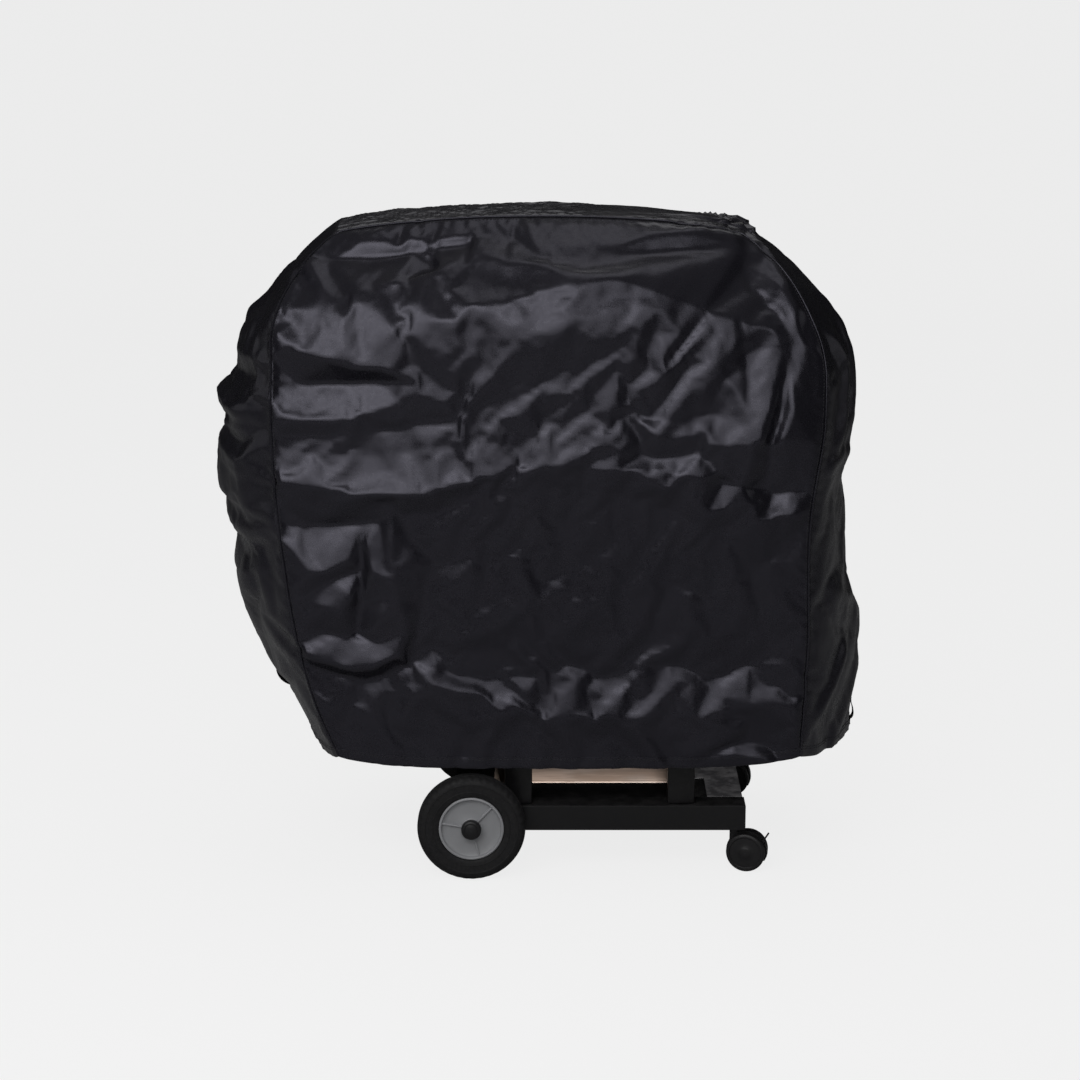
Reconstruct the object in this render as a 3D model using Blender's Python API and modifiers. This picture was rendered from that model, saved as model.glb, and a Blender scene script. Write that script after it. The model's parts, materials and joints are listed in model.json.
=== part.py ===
"""A sewn vinyl grill cover on the wheeled barbecue that it protects.

Metres, +Z up. The front faces -Y and the origin is on the floor, under the middle of the cover.
The cover is a front and a back panel joined by one long gusset that runs up the left side, over the
top and down the right side. It hangs on a barbecue whose narrow cart has a fixed axle with two large
wheels at its left end and two swivel casters at its right end.
"""

import math

import bmesh
import bpy
import numpy as np
from mathutils import Matrix, Vector

# ---- driving dimensions -------------------------------------------------------------------------

GAP = 0.0003  # clearance between pieces that touch
VINYL = 0.0016  # thickness of the cover's sheet
PIPING_RADIUS = 0.0026
SEAM_SETBACK = 0.0045  # a panel's edge to the centre line of its piping
SIDE_STEPS, TOP_STEPS = 20, 12  # rows up each side of the cover and columns along its top

# The cover. Each curve below is a list of (height, distance) pairs joined by a smooth curve.
HEM_Z = 0.225
SHOULDER_Z = 1.222
CROWN = 0.020  # how far the middle of the top stands above its corners
HALF_DEPTH = [(0.20, 0.300), (0.78, 0.300), (0.95, 0.294), (1.06, 0.274), (1.15, 0.220), (1.26, 0.130)]
SEAM_LEFT = [(0.20, 0.372), (0.35, 0.425), (0.63, 0.477), (0.98, 0.492), (1.06, 0.488), (1.16, 0.440),
             (1.26, 0.335)]
SEAM_RIGHT = [(0.20, 0.489), (0.45, 0.500), (0.70, 0.500), (0.89, 0.524), (1.03, 0.515), (1.14, 0.460),
              (1.26, 0.335)]
BULGE_LEFT = [(0.20, 0.459), (0.35, 0.530), (0.50, 0.592), (0.71, 0.626), (0.90, 0.613), (1.04, 0.553),
              (1.14, 0.488), (1.26, 0.340)]
BULGE_RIGHT = [(0.20, 0.610), (0.40, 0.6274), (0.60, 0.594), (0.72, 0.586), (0.90, 0.616), (1.00, 0.597),
               (1.09, 0.534), (1.26, 0.338)]
TOP_BULGE = 0.010

# The cart's base frame
BEAM_FRONT_Y, BEAM_BACK_Y = -0.255, -0.200
BEAM_Z = (0.084, 0.133)
BEAM_LEFT_X, BEAM_RIGHT_X = -0.168, 0.392
SIDE_BEAM_Z = (0.088, 0.133)
SIDE_BEAM_END_Y = 0.1997
RIGHT_BEAM_X = (0.291, 0.389)
LEFT_BEAM_X = (-0.165, -0.091)
SHEET = 0.002

# The legs and the barbecue on them
LEG_WIDTH, LEG_DEPTH = 0.052, 0.030
LEG_X = (-0.041, 0.269)
LEG_Y = 0.2300
LEG_TOP_Z = 0.775
FIREBOX_X = (-0.185, 0.385)
FIREBOX_Z = (0.8003, 0.950)
FIREBOX_HALF_DEPTH = 0.210
HOOD_HEIGHT = 0.262

# The large wheels and their axle
WHEEL_X, WHEEL_Y, WHEEL_RADIUS, WHEEL_WIDTH = -0.130, 0.284, 0.1025, 0.042
RIM_RADIUS = 0.0615
AXLE_RADIUS, BUSH_RADIUS = 0.005, 0.008

# The casters
CASTER_RADIUS, CASTER_TRAIL = 0.0375, 0.024
CASTER_STEM_X, CASTER_STEM_Y = 0.374, 0.2275
CASTER_BODY_RADIUS = 0.0395
STEM_RADIUS = 0.004
LEVER_PIVOT_RADIUS, LEVER_PIVOT_ANGLE, LEVER_ANGLE = 0.037, math.radians(33), math.radians(58)

X, Y, Z = Vector((1, 0, 0)), Vector((0, 1, 0)), Vector((0, 0, 1))

# ---- scene helpers ------------------------------------------------------------------------------

for old in list(bpy.data.objects):
    bpy.data.objects.remove(old)
PARTS = bpy.data.collections.new("covered_grill")
CUTTERS = bpy.data.collections.new("cutters")
for collection in (PARTS, CUTTERS):
    bpy.context.scene.collection.children.link(collection)


def material(name, colour, roughness, metallic=0.0):
    made = bpy.data.materials.new(name)
    made.use_nodes = True
    shader = made.node_tree.nodes["Principled BSDF"]
    shader.inputs["Base Color"].default_value = (*colour, 1)
    shader.inputs["Roughness"].default_value = roughness
    shader.inputs["Metallic"].default_value = metallic
    return made


VINYL_BLACK = material("vinyl_black", (0.012, 0.012, 0.014), 0.38)
PAINTED_STEEL = material("painted_steel", (0.010, 0.010, 0.011), 0.35)
BLACK_PLASTIC = material("black_plastic", (0.016, 0.016, 0.017), 0.45)
GREY_PLASTIC = material("grey_plastic", (0.17, 0.17, 0.18), 0.45)
RUBBER = material("rubber", (0.012, 0.012, 0.013), 0.75)
BARE_STEEL = material("bare_steel", (0.55, 0.55, 0.56), 0.3, 1.0)
CAST_ALUMINIUM = material("cast_aluminium", (0.030, 0.030, 0.032), 0.5, 0.6)
WOOD = material("wood", (0.24, 0.17, 0.12), 0.6)


def keep(obj, name, finish, collection=PARTS):
    """Names the object, gives it its material and moves it to its collection."""
    obj.name = obj.data.name = name
    if finish:
        obj.data.materials.clear()
        obj.data.materials.append(finish)
    for owner in list(obj.users_collection):
        owner.objects.unlink(obj)
    collection.objects.link(obj)
    return obj


def hide(obj):
    """Makes the object a helper that is never part of the model."""
    keep(obj, obj.name, None, CUTTERS)
    obj.hide_render = True
    obj.display_type = "WIRE"
    return obj


def bevel(obj, width, segments=2):
    rounding = obj.modifiers.new("rounded_edges", "BEVEL")
    rounding.width = width
    rounding.segments = segments
    rounding.limit_method = "ANGLE"
    rounding.angle_limit = math.radians(40)


def block(name, xs, ys, zs, finish, rounding=0.0):
    """A box between two values on each axis."""
    lows, highs = Vector((xs[0], ys[0], zs[0])), Vector((xs[1], ys[1], zs[1]))
    bpy.ops.mesh.primitive_cube_add(size=1, location=(lows + highs) / 2)
    obj = keep(bpy.context.object, name, finish)
    obj.data.transform(Matrix.Diagonal((*(highs - lows), 1)))
    if rounding:
        bevel(obj, rounding)
    return obj


def rod(name, start, end, radius, finish, sides=24, rounding=0.0):
    """A cylinder from one point to another."""
    start, end = Vector(start), Vector(end)
    bpy.ops.mesh.primitive_cylinder_add(vertices=sides, radius=radius, depth=(end - start).length)
    obj = keep(bpy.context.object, name, finish)
    obj.location = (start + end) / 2
    obj.rotation_mode = "QUATERNION"
    obj.rotation_quaternion = (end - start).to_track_quat("Z", "Y")
    obj.data.shade_smooth()
    obj.data.set_sharp_from_angle(angle=math.radians(35))
    if rounding:
        bevel(obj, rounding)
    return obj


def across_y(name, x, y_from, y_to, radius, finish=None):
    """A cylinder along Y at the height of the wheels' axle."""
    return rod(name, (x, y_from, WHEEL_RADIUS), (x, y_to, WHEEL_RADIUS), radius, finish)


def turned(name, profile, centre, finish, steps=40):
    """A solid of revolution about an axis along Y. The profile holds (radius, y) pairs in order."""
    mesh = bpy.data.meshes.new(name)
    count = len(profile)
    mesh.from_pydata([(r, y, 0) for r, y in profile], [(i, (i + 1) % count) for i in range(count)], [])
    obj = bpy.data.objects.new(name, mesh)
    bpy.context.scene.collection.objects.link(obj)
    obj.location = centre
    screw = obj.modifiers.new("turn", "SCREW")
    screw.axis = "Y"
    screw.steps = screw.render_steps = steps
    screw.use_merge_vertices = True
    screw.merge_threshold = 0.00001
    keep(obj, name, finish)
    return face_outward(obj)


def evaluated_mesh(obj):
    graph = bpy.context.evaluated_depsgraph_get()
    graph.update()
    return bpy.data.meshes.new_from_object(obj.evaluated_get(graph))


def face_outward(obj):
    """Applies the object's modifiers, and turns every face outwards."""
    mesh = evaluated_mesh(obj)
    obj.modifiers.clear()
    shape = bmesh.new()
    shape.from_mesh(mesh)
    bmesh.ops.remove_doubles(shape, verts=shape.verts, dist=0.000005)
    bmesh.ops.recalc_face_normals(shape, faces=shape.faces)
    shape.to_mesh(mesh)
    shape.free()
    name = obj.name
    if obj.type == "MESH":
        obj.data = mesh
    else:
        finish, world = obj.active_material, obj.matrix_world.copy()
        bpy.data.objects.remove(obj)
        obj = bpy.data.objects.new(name, mesh)
        bpy.context.scene.collection.objects.link(obj)
        obj.matrix_world = world
        keep(obj, name, finish)
    obj.data.name = name
    obj.data.shade_smooth()
    obj.data.set_sharp_from_angle(angle=math.radians(35))
    return obj


def combine(obj, other, operation):
    change = obj.modifiers.new(operation.lower(), "BOOLEAN")
    change.operation = operation
    change.object = hide(other)
    return obj


def cut(obj, cutter):
    return combine(obj, cutter, "DIFFERENCE")


def join(obj, other):
    return combine(obj, other, "UNION")


def slab(name, outline, thickness, matrix, finish, hole=None):
    """A flat plate from an outline in its own XY plane, and an optional hole through it."""
    curve = bpy.data.curves.new(name, "CURVE")
    curve.dimensions = "2D"
    curve.fill_mode = "BOTH"
    curve.extrude = thickness / 2
    for loop in [outline] + ([hole] if hole else []):
        spline = curve.splines.new("POLY")
        spline.points.add(len(loop) - 1)
        for point, (x, y) in zip(spline.points, loop):
            point.co = (x, y, 0, 1)
        spline.use_cyclic_u = True
    obj = bpy.data.objects.new(name, curve)
    bpy.context.scene.collection.objects.link(obj)
    obj.matrix_world = matrix
    keep(obj, name, finish)
    bpy.context.view_layer.update()
    return face_outward(obj)


def tube(name, points, radius, finish, closed=False):
    """A bent tube through the points."""
    curve = bpy.data.curves.new(name, "CURVE")
    curve.dimensions = "3D"
    curve.bevel_depth = radius
    curve.bevel_resolution = 1
    curve.use_fill_caps = True
    spline = curve.splines.new("POLY")
    spline.points.add(len(points) - 1)
    for point, place in zip(spline.points, points):
        point.co = (*place, 1)
    spline.use_cyclic_u = closed
    obj = bpy.data.objects.new(name, curve)
    bpy.context.scene.collection.objects.link(obj)
    keep(obj, name, finish)
    bpy.context.view_layer.update()
    return face_outward(obj)


def empty(name, place):
    """A pivot: moving pieces are parented to it, and it stands on their joint's axis."""
    pivot = bpy.data.objects.new(name, None)
    PARTS.objects.link(pivot)
    pivot.location = place
    return pivot


def attach(pivot, *pieces):
    bpy.context.view_layer.update()
    for piece in pieces:
        world = piece.matrix_world.copy()
        piece.parent = pivot
        piece.matrix_world = world


# ---- the cover ----------------------------------------------------------------------------------


def smooth(pairs, at):
    """The value at a height of the smooth curve through (height, value) pairs."""
    heights, values = np.array(pairs).T
    slopes = np.gradient(values, heights)
    i = int(np.clip(np.searchsorted(heights, at) - 1, 0, len(heights) - 2))
    step = heights[i + 1] - heights[i]
    t = (at - heights[i]) / step
    rise = values[i] * (2 * t**3 - 3 * t**2 + 1) + values[i + 1] * (3 * t**2 - 2 * t**3)
    return float(rise + step * (slopes[i] * (t**3 - 2 * t**2 + t) + slopes[i + 1] * (t**3 - t**2)))


def seam_point(across, up, setback=0.0):
    """A point of the panel: across runs -1 to 1 and up runs 0 at the hem to 1 at the top."""
    base_z = HEM_Z + up * (SHOULDER_Z - HEM_Z)
    left, right = -smooth(SEAM_LEFT, base_z) + setback, smooth(SEAM_RIGHT, base_z) - setback
    x = left + (right - left) * (across + 1) / 2
    z = base_z + CROWN * (1 - across**2) * up**4 - setback * up**4
    return Vector((x, smooth(HALF_DEPTH, base_z), z))


def outline_steps(side_steps, top_steps):
    """(across, up) all round a panel's edge: up the left side, over the top and down the right side."""
    left = [(-1, i / side_steps) for i in range(side_steps)]
    top = [(2 * i / top_steps - 1, 1) for i in range(top_steps)]
    right = [(1, 1 - i / side_steps) for i in range(side_steps + 1)]
    return left + top + right


def gusset_point(across, up, w):
    """A point of the gusset: w runs -1 at the front seam to 1 at the back seam."""
    seam = seam_point(across, up)
    fullness = 1 - abs(w) ** 3
    x, z = seam.x, seam.z
    if up < 1:
        out = -smooth(BULGE_LEFT, z) if across < 0 else smooth(BULGE_RIGHT, z)
        x += (out - x) * fullness
    z += TOP_BULGE * fullness * up**6
    return Vector((x, w * seam.y, z))


def sheet(name, columns, rows, place):
    """A sheet of vinyl whose points come from place(column share, row share), each from 0 to 1."""
    bpy.ops.mesh.primitive_grid_add(x_subdivisions=columns, y_subdivisions=rows, size=2)
    obj = keep(bpy.context.object, name, VINYL_BLACK)
    for vertex in obj.data.vertices:
        vertex.co = place((vertex.co.x + 1) / 2, (vertex.co.y + 1) / 2)
    obj.data.shade_smooth()
    thick = obj.modifiers.new("thickness", "SOLIDIFY")
    thick.thickness = VINYL
    thick.offset = 0
    return obj


def panel(name, side):
    """The front panel has side -1 and the back panel has side 1."""

    def place(s, t):
        point = seam_point(side * (1 - 2 * s), t, SEAM_SETBACK)
        return Vector((point.x, side * point.y, point.z))

    return sheet(name, TOP_STEPS, SIDE_STEPS, place)


def cover():
    front = panel("cover_front_panel", -1)
    back = panel("cover_back_panel", 1)
    steps = outline_steps(SIDE_STEPS, TOP_STEPS)
    edge = SEAM_SETBACK

    def gusset_place(s, t):
        across, up = steps[round(s * (len(steps) - 1))]
        w = 2 * t - 1
        return gusset_point(across, up, w * (1 - edge / seam_point(across, up).y))

    gusset = sheet("cover_gusset", len(steps) - 1, 10, gusset_place)
    pipings = []
    for name, side in (("cover_front_piping", -1), ("cover_back_piping", 1)):
        line = [seam_point(across, max(up, 0.001)) for across, up in steps]
        pipings.append(tube(name, [(p.x, side * p.y, p.z) for p in line], PIPING_RADIUS, VINYL_BLACK))
    hem_z = HEM_Z - PIPING_RADIUS - 0.001
    front_edge = [seam_point(i / 8 - 1, 0) for i in range(17)]
    rim = [(p.x, -p.y) for p in front_edge]
    rim += [gusset_point(1, 0, w / 6 - 1).xy for w in range(1, 12)]
    rim += [(p.x, p.y) for p in reversed(front_edge)]
    rim += [gusset_point(-1, 0, 1 - w / 6).xy for w in range(1, 12)]
    hem = tube("cover_hem", [(x, y, hem_z) for x, y in rim], PIPING_RADIUS, VINYL_BLACK, closed=True)
    pull = empty("cover_pivot", (0, 0, HEM_Z))
    attach(pull, front, back, gusset, hem, *pipings, *tie_loops())


def tie_loops():
    """A loop of webbing on each side of the gusset, for a tie-down cord. The right one lies flatter."""
    height, bar, web = 0.030, 0.0022, 0.022
    turn = Matrix(((1, 0, 0, 0), (0, 0, -1, 0), (0, 1, 0, 0), (0, 0, 0, 1)))

    def ring(half_width, half_height):
        corner = half_width * 0.98
        points = []
        for quarter, (sx, sy) in enumerate(((1, 1), (-1, 1), (-1, -1), (1, -1))):
            centre = Vector((sx * (half_width - corner), sy * (half_height - corner)))
            for step in range(5):
                a = (quarter + step / 4) * math.pi / 2
                points.append(centre + corner * Vector((math.cos(a), math.sin(a))))
        return points

    loops = []
    left, right = ("left_tie_loop", -1, BULGE_LEFT), ("right_tie_loop", 1, BULGE_RIGHT)
    for (name, side, bulge), top_z, width in ((left, 0.350, 0.009), (right, 0.280, 0.0065)):
        surface = max(smooth(bulge, top_z), smooth(bulge, top_z - height))
        centre = Vector((side * (surface + VINYL / 2 + GAP + width / 2), 0, top_z - height / 2))
        outline, hole = ring(width / 2, height / 2), ring(width / 2 - bar, height / 2 - bar)
        loops.append(slab(name, outline, web, Matrix.Translation(centre) @ turn, VINYL_BLACK, hole))
    return loops


# ---- the cart's base ----------------------------------------------------------------------------


def channel(name, xs, ys, zs, along):
    """A folded sheet beam, open below. One along Y is open at its ends too, and one along X is closed."""
    beam = block(name, xs, ys, zs, PAINTED_STEEL)
    inside_x = (xs[0] + SHEET, xs[1] - SHEET)
    inside_y = (ys[0] - 0.01, ys[1] + 0.01) if along == "y" else (ys[0] + SHEET, ys[1] - SHEET)
    return cut(beam, block("inside_" + name, inside_x, inside_y, (zs[0] - 0.01, zs[1] - SHEET), None))


def base_frame():
    for end, side in (("front", -1), ("rear", 1)):
        ys = sorted((-side * BEAM_FRONT_Y, -side * BEAM_BACK_Y))
        beam = channel(end + "_beam", (BEAM_LEFT_X, BEAM_RIGHT_X), ys, BEAM_Z, "x")
        cut(beam, across_y("bush_hole_" + end, WHEEL_X, ys[0] - 0.01, ys[1] + 0.01, BUSH_RADIUS + GAP))
        outer, inner = side * (abs(BEAM_FRONT_Y) + 0.0035), side * abs(BEAM_BACK_Y)
        bush = across_y(end + "_axle_bush", WHEEL_X, outer, inner, BUSH_RADIUS, BLACK_PLASTIC)
        cut(bush, across_y("bore_" + end + "_bush", WHEEL_X, outer * 1.1, inner * 0.9, AXLE_RADIUS + GAP))
        socket_y = (ys[0] + SHEET + GAP, ys[1] - SHEET - GAP)
        socket_x = (CASTER_STEM_X - 0.0150, CASTER_STEM_X + 0.0150)
        socket_z = (BEAM_Z[0], BEAM_Z[1] - SHEET - GAP)
        socket = block(end + "_caster_socket", socket_x, socket_y, socket_z, BLACK_PLASTIC)
        place = (CASTER_STEM_X, side * CASTER_STEM_Y)
        cut(socket, rod("bore_" + end + "_socket", (*place, 0.07), (*place, 0.132), STEM_RADIUS + GAP, None))
    channel("left_side_beam", LEFT_BEAM_X, (-SIDE_BEAM_END_Y, SIDE_BEAM_END_Y), SIDE_BEAM_Z, "y")
    beam = channel("right_side_beam", RIGHT_BEAM_X, (-SIDE_BEAM_END_Y, SIDE_BEAM_END_Y), SIDE_BEAM_Z, "y")
    notch_x = (RIGHT_BEAM_X[0] - 0.01, RIGHT_BEAM_X[0] + 0.030)
    notch_z = (SIDE_BEAM_Z[0] - 0.01, SIDE_BEAM_Z[1] + 0.01)
    for side in (-1, 1):
        notch_y = sorted((side * 0.085, side * 0.21))
        cut(beam, block(f"corner_notch_{side}", notch_x, notch_y, notch_z, None))


def shelf():
    """Slats between the side beams, carried by an angle on each beam: steel at the front, the rest wood."""
    board, count, span = 0.016, 4, 2 * 0.197
    pitch = span / count
    top_z = BEAM_Z[1] - 0.004
    for i in range(count):
        low = -span / 2 + i * pitch
        ys = (low + 0.003, low + pitch - 0.003)
        xs = (LEFT_BEAM_X[1] + 0.001, RIGHT_BEAM_X[0] - 0.001)
        finish = PAINTED_STEEL if i == 0 else WOOD
        block(f"shelf_slat_{i + 1}", xs, ys, (top_z - board, top_z), finish, 0.0015)
    leg, thick = 0.018, 0.0025
    rail_z = top_z - board - GAP
    ends = (("left_slat_rail", LEFT_BEAM_X[1] + GAP, 1), ("right_slat_rail", RIGHT_BEAM_X[0] - GAP, -1))
    for name, x, way in ends:
        outline = [(0, 0), (way * leg, 0), (way * leg, -thick)]
        outline += [(way * thick, -thick), (way * thick, -leg), (0, -leg)]
        turn = Matrix(((1, 0, 0, x), (0, 0, -1, 0), (0, 1, 0, rail_z), (0, 0, 0, 1)))
        slab(name, outline, span, turn, PAINTED_STEEL)


# ---- the barbecue -------------------------------------------------------------------------------


def legs():
    for front, side in (("front", -1), ("rear", 1)):
        for name, x in (("left", LEG_X[0]), ("right", LEG_X[1])):
            xs = (x - LEG_WIDTH / 2, x + LEG_WIDTH / 2)
            ys = (side * LEG_Y - LEG_DEPTH / 2, side * LEG_Y + LEG_DEPTH / 2)
            block(f"{front}_{name}_leg", xs, ys, (BEAM_Z[1] + GAP, LEG_TOP_Z), PAINTED_STEEL, 0.003)
    for name, x in (("left", LEG_X[0]), ("right", LEG_X[1])):
        xs = (x - LEG_WIDTH / 2, x + LEG_WIDTH / 2)
        reach = LEG_Y + LEG_DEPTH / 2
        zs = (LEG_TOP_Z + GAP, FIREBOX_Z[0] - GAP)
        block(f"{name}_cradle_rail", xs, (-reach, reach), zs, PAINTED_STEEL, 0.002)


def tapered(name, xs, half_depth, zs, narrowing, finish):
    """A block whose bottom is smaller than its top."""
    obj = block(name, xs, (-half_depth, half_depth), zs, finish)
    for vertex in obj.data.vertices:
        if vertex.co.z < 0:
            vertex.co.x *= 1 - narrowing
            vertex.co.y *= 1 - narrowing
    return obj


def arch(half_depth, height, steps=14):
    """The hood's end profile, from its front bottom edge over the top to its back bottom edge."""
    points = []
    for i in range(steps + 1):
        t = math.pi * i / steps
        out = half_depth * abs(math.cos(t)) ** 0.75
        points.append((-math.copysign(out, math.cos(t)), height * math.sin(t) ** 0.75))
    return points


def firebox_and_hood():
    wall = 0.004
    tub = tapered("firebox", FIREBOX_X, FIREBOX_HALF_DEPTH, FIREBOX_Z, 0.14, CAST_ALUMINIUM)
    hollow_x = (FIREBOX_X[0] + wall, FIREBOX_X[1] - wall)
    hollow_z = (FIREBOX_Z[0] + wall, FIREBOX_Z[1] + 0.002)
    cut(tub, tapered("firebox_hollow", hollow_x, FIREBOX_HALF_DEPTH - wall, hollow_z, 0.14, None))
    width = FIREBOX_X[1] - FIREBOX_X[0]
    middle = sum(FIREBOX_X) / 2
    # The profile's own x runs along Y, and its own y runs up.
    stand = Matrix(((0, 0, 1, middle), (1, 0, 0, 0), (0, 1, 0, FIREBOX_Z[1] + 0.006), (0, 0, 0, 1)))
    hood = slab("hood", arch(0.214, HOOD_HEIGHT), width, stand, CAST_ALUMINIUM)
    low = Matrix.Translation((0, 0, -0.003))
    inside = arch(0.214 - wall, HOOD_HEIGHT - wall)
    cut(hood, slab("hood_hollow", inside, width - 2 * wall, low @ stand, None))
    grate_z = FIREBOX_Z[1] - 0.030
    grate_x = (FIREBOX_X[0] + 0.022, FIREBOX_X[1] - 0.022)
    grate = block("cooking_grate", grate_x, (-0.178, 0.178), (grate_z, grate_z + 0.006), BARE_STEEL)
    slots, pitch = 16, 0.032
    slot = block("grate_slots", (0, pitch - 0.008), (-0.165, 0.165), (grate_z - 0.01, grate_z + 0.02), None)
    slot.location.x = middle - (slots - 1) * pitch / 2
    row = slot.modifiers.new("row", "ARRAY")
    row.count = slots
    row.use_relative_offset = False
    row.use_constant_offset = True
    row.constant_offset_displace = (pitch, 0, 0)
    cut(grate, slot)


def hood_fittings():
    middle = sum(FIREBOX_X) / 2
    bar_y, bar_z, reach = -0.252, FIREBOX_Z[1] + 0.052, 0.150
    foot_y = -0.2147
    bend = 0.008
    half = [(reach, foot_y), (reach, bar_y + bend), (reach - bend, bar_y)]
    posts = [(middle - x, y, bar_z) for x, y in half] + [(middle + x, y, bar_z) for x, y in reversed(half)]
    tube("hood_handle", posts, 0.008, BLACK_PLASTIC)
    for name, x in (("left_hood_hinge", FIREBOX_X[0] + 0.08), ("right_hood_hinge", FIREBOX_X[1] - 0.08)):
        y, z = 0.2225, FIREBOX_Z[1] + 0.003
        rod(name, (x - 0.025, y, z), (x + 0.025, y, z), 0.0075, BARE_STEEL, 16)


def side_shelves():
    """A wooden shelf on each side of the firebox, on a steel bracket."""
    top_z, board, half_depth = 0.940, 0.020, 0.185
    zs = (top_z - board, top_z)
    for name, inner, outer in (("left", FIREBOX_X[0] - 0.004, -0.425), ("right", FIREBOX_X[1] + 0.004, 0.555)):
        block(name + "_side_shelf", sorted((inner, outer)), (-half_depth, half_depth), zs, WOOD, 0.004)
        way = math.copysign(1, outer)
        reach = abs(outer - inner) - 0.02
        outline = [(0, 0), (way * reach, 0), (way * reach, -0.018), (way * 0.020, -0.085), (0, -0.085)]
        turn = Matrix(((1, 0, 0, inner), (0, 0, -1, 0), (0, 1, 0, top_z - board - GAP), (0, 0, 0, 1)))
        slab(name + "_shelf_bracket", outline, 0.036, turn, PAINTED_STEEL)


# ---- the large wheels ---------------------------------------------------------------------------


def wheel(name, side):
    """A rubber tyre on a moulded rim with three ribs. The outer face looks along side * Y."""
    centre = Vector((WHEEL_X, side * WHEEL_Y, WHEEL_RADIUS))
    half = WHEEL_WIDTH / 2
    seat = RIM_RADIUS + GAP
    tread = [(seat, -half + 0.005), (seat + 0.010, -half + 0.001), (WHEEL_RADIUS - 0.012, -half)]
    tread += [(WHEEL_RADIUS - 0.004, -half + 0.004), (WHEEL_RADIUS, -half + 0.011)]
    tyre = turned(name + "_tyre", tread + [(r, -y) for r, y in reversed(tread)], centre, RUBBER, 48)
    lip, web, hub = 0.0055, 0.004, 0.0165
    outer, face = half - 0.004, half - 0.010
    bore = AXLE_RADIUS + GAP
    inside = RIM_RADIUS - lip
    profile = [(bore, -outer), (hub, -outer), (hub, face - web), (inside, face - web), (inside, -outer)]
    profile += [(RIM_RADIUS, -outer), (RIM_RADIUS, outer), (inside, outer), (inside, face)]
    profile += [(hub, face), (hub, outer), (bore, outer)]
    rim = turned(name + "_rim", [(r, side * y) for r, y in profile], centre, GREY_PLASTIC, 40)
    for number, degrees in enumerate((47, 170, 285)):
        direction = Vector((math.cos(math.radians(degrees)), 0, math.sin(math.radians(degrees))))
        inner, end = hub - 0.002, RIM_RADIUS - lip / 2
        middle = centre + direction * (inner + end) / 2 + Y * side * (face + outer - 0.003) / 2
        bpy.ops.mesh.primitive_cube_add(size=1, location=middle)
        rib = keep(bpy.context.object, f"{name}_rib_{number}", None)
        rib.data.transform(Matrix.Diagonal((end - inner, outer - face + 0.001, 0.0035, 1)))
        rib.rotation_euler.y = -math.radians(degrees)
        join(rim, rib)
    attach(empty(name + "_pivot", centre), tyre, rim)


def on_axle(y):
    return (WHEEL_X, y, WHEEL_RADIUS)


def axle_group():
    end = WHEEL_Y + WHEEL_WIDTH / 2 + 0.006
    rod("wheel_axle", on_axle(-end), on_axle(end), AXLE_RADIUS, BARE_STEEL)
    for name, side in (("front", -1), ("rear", 1)):
        inner_face = WHEEL_Y - WHEEL_WIDTH / 2 + 0.004
        start, stop = 0.2588, inner_face - GAP
        washer = rod(name + "_wheel_spacer", on_axle(side * start), on_axle(side * stop), 0.011, BARE_STEEL)
        bore = AXLE_RADIUS + GAP
        cut(washer, rod("bore_" + name + "_spacer", on_axle(side * 0.25), on_axle(side * 0.28), bore, None))
        outer_face = WHEEL_Y + WHEEL_WIDTH / 2 - 0.004
        cap_start, cap_end = outer_face + 2 * GAP, outer_face + 0.0145
        places = on_axle(side * cap_start), on_axle(side * cap_end)
        cap = rod(name + "_axle_cap", *places, 0.0190, BLACK_PLASTIC, 28, 0.003)
        places = on_axle(side * (cap_start - 0.01)), on_axle(side * (end + GAP))
        cut(cap, rod("bore_" + name + "_cap", *places, bore, None))
        wheel(name + "_wheel", side)


# ---- the casters --------------------------------------------------------------------------------


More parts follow.
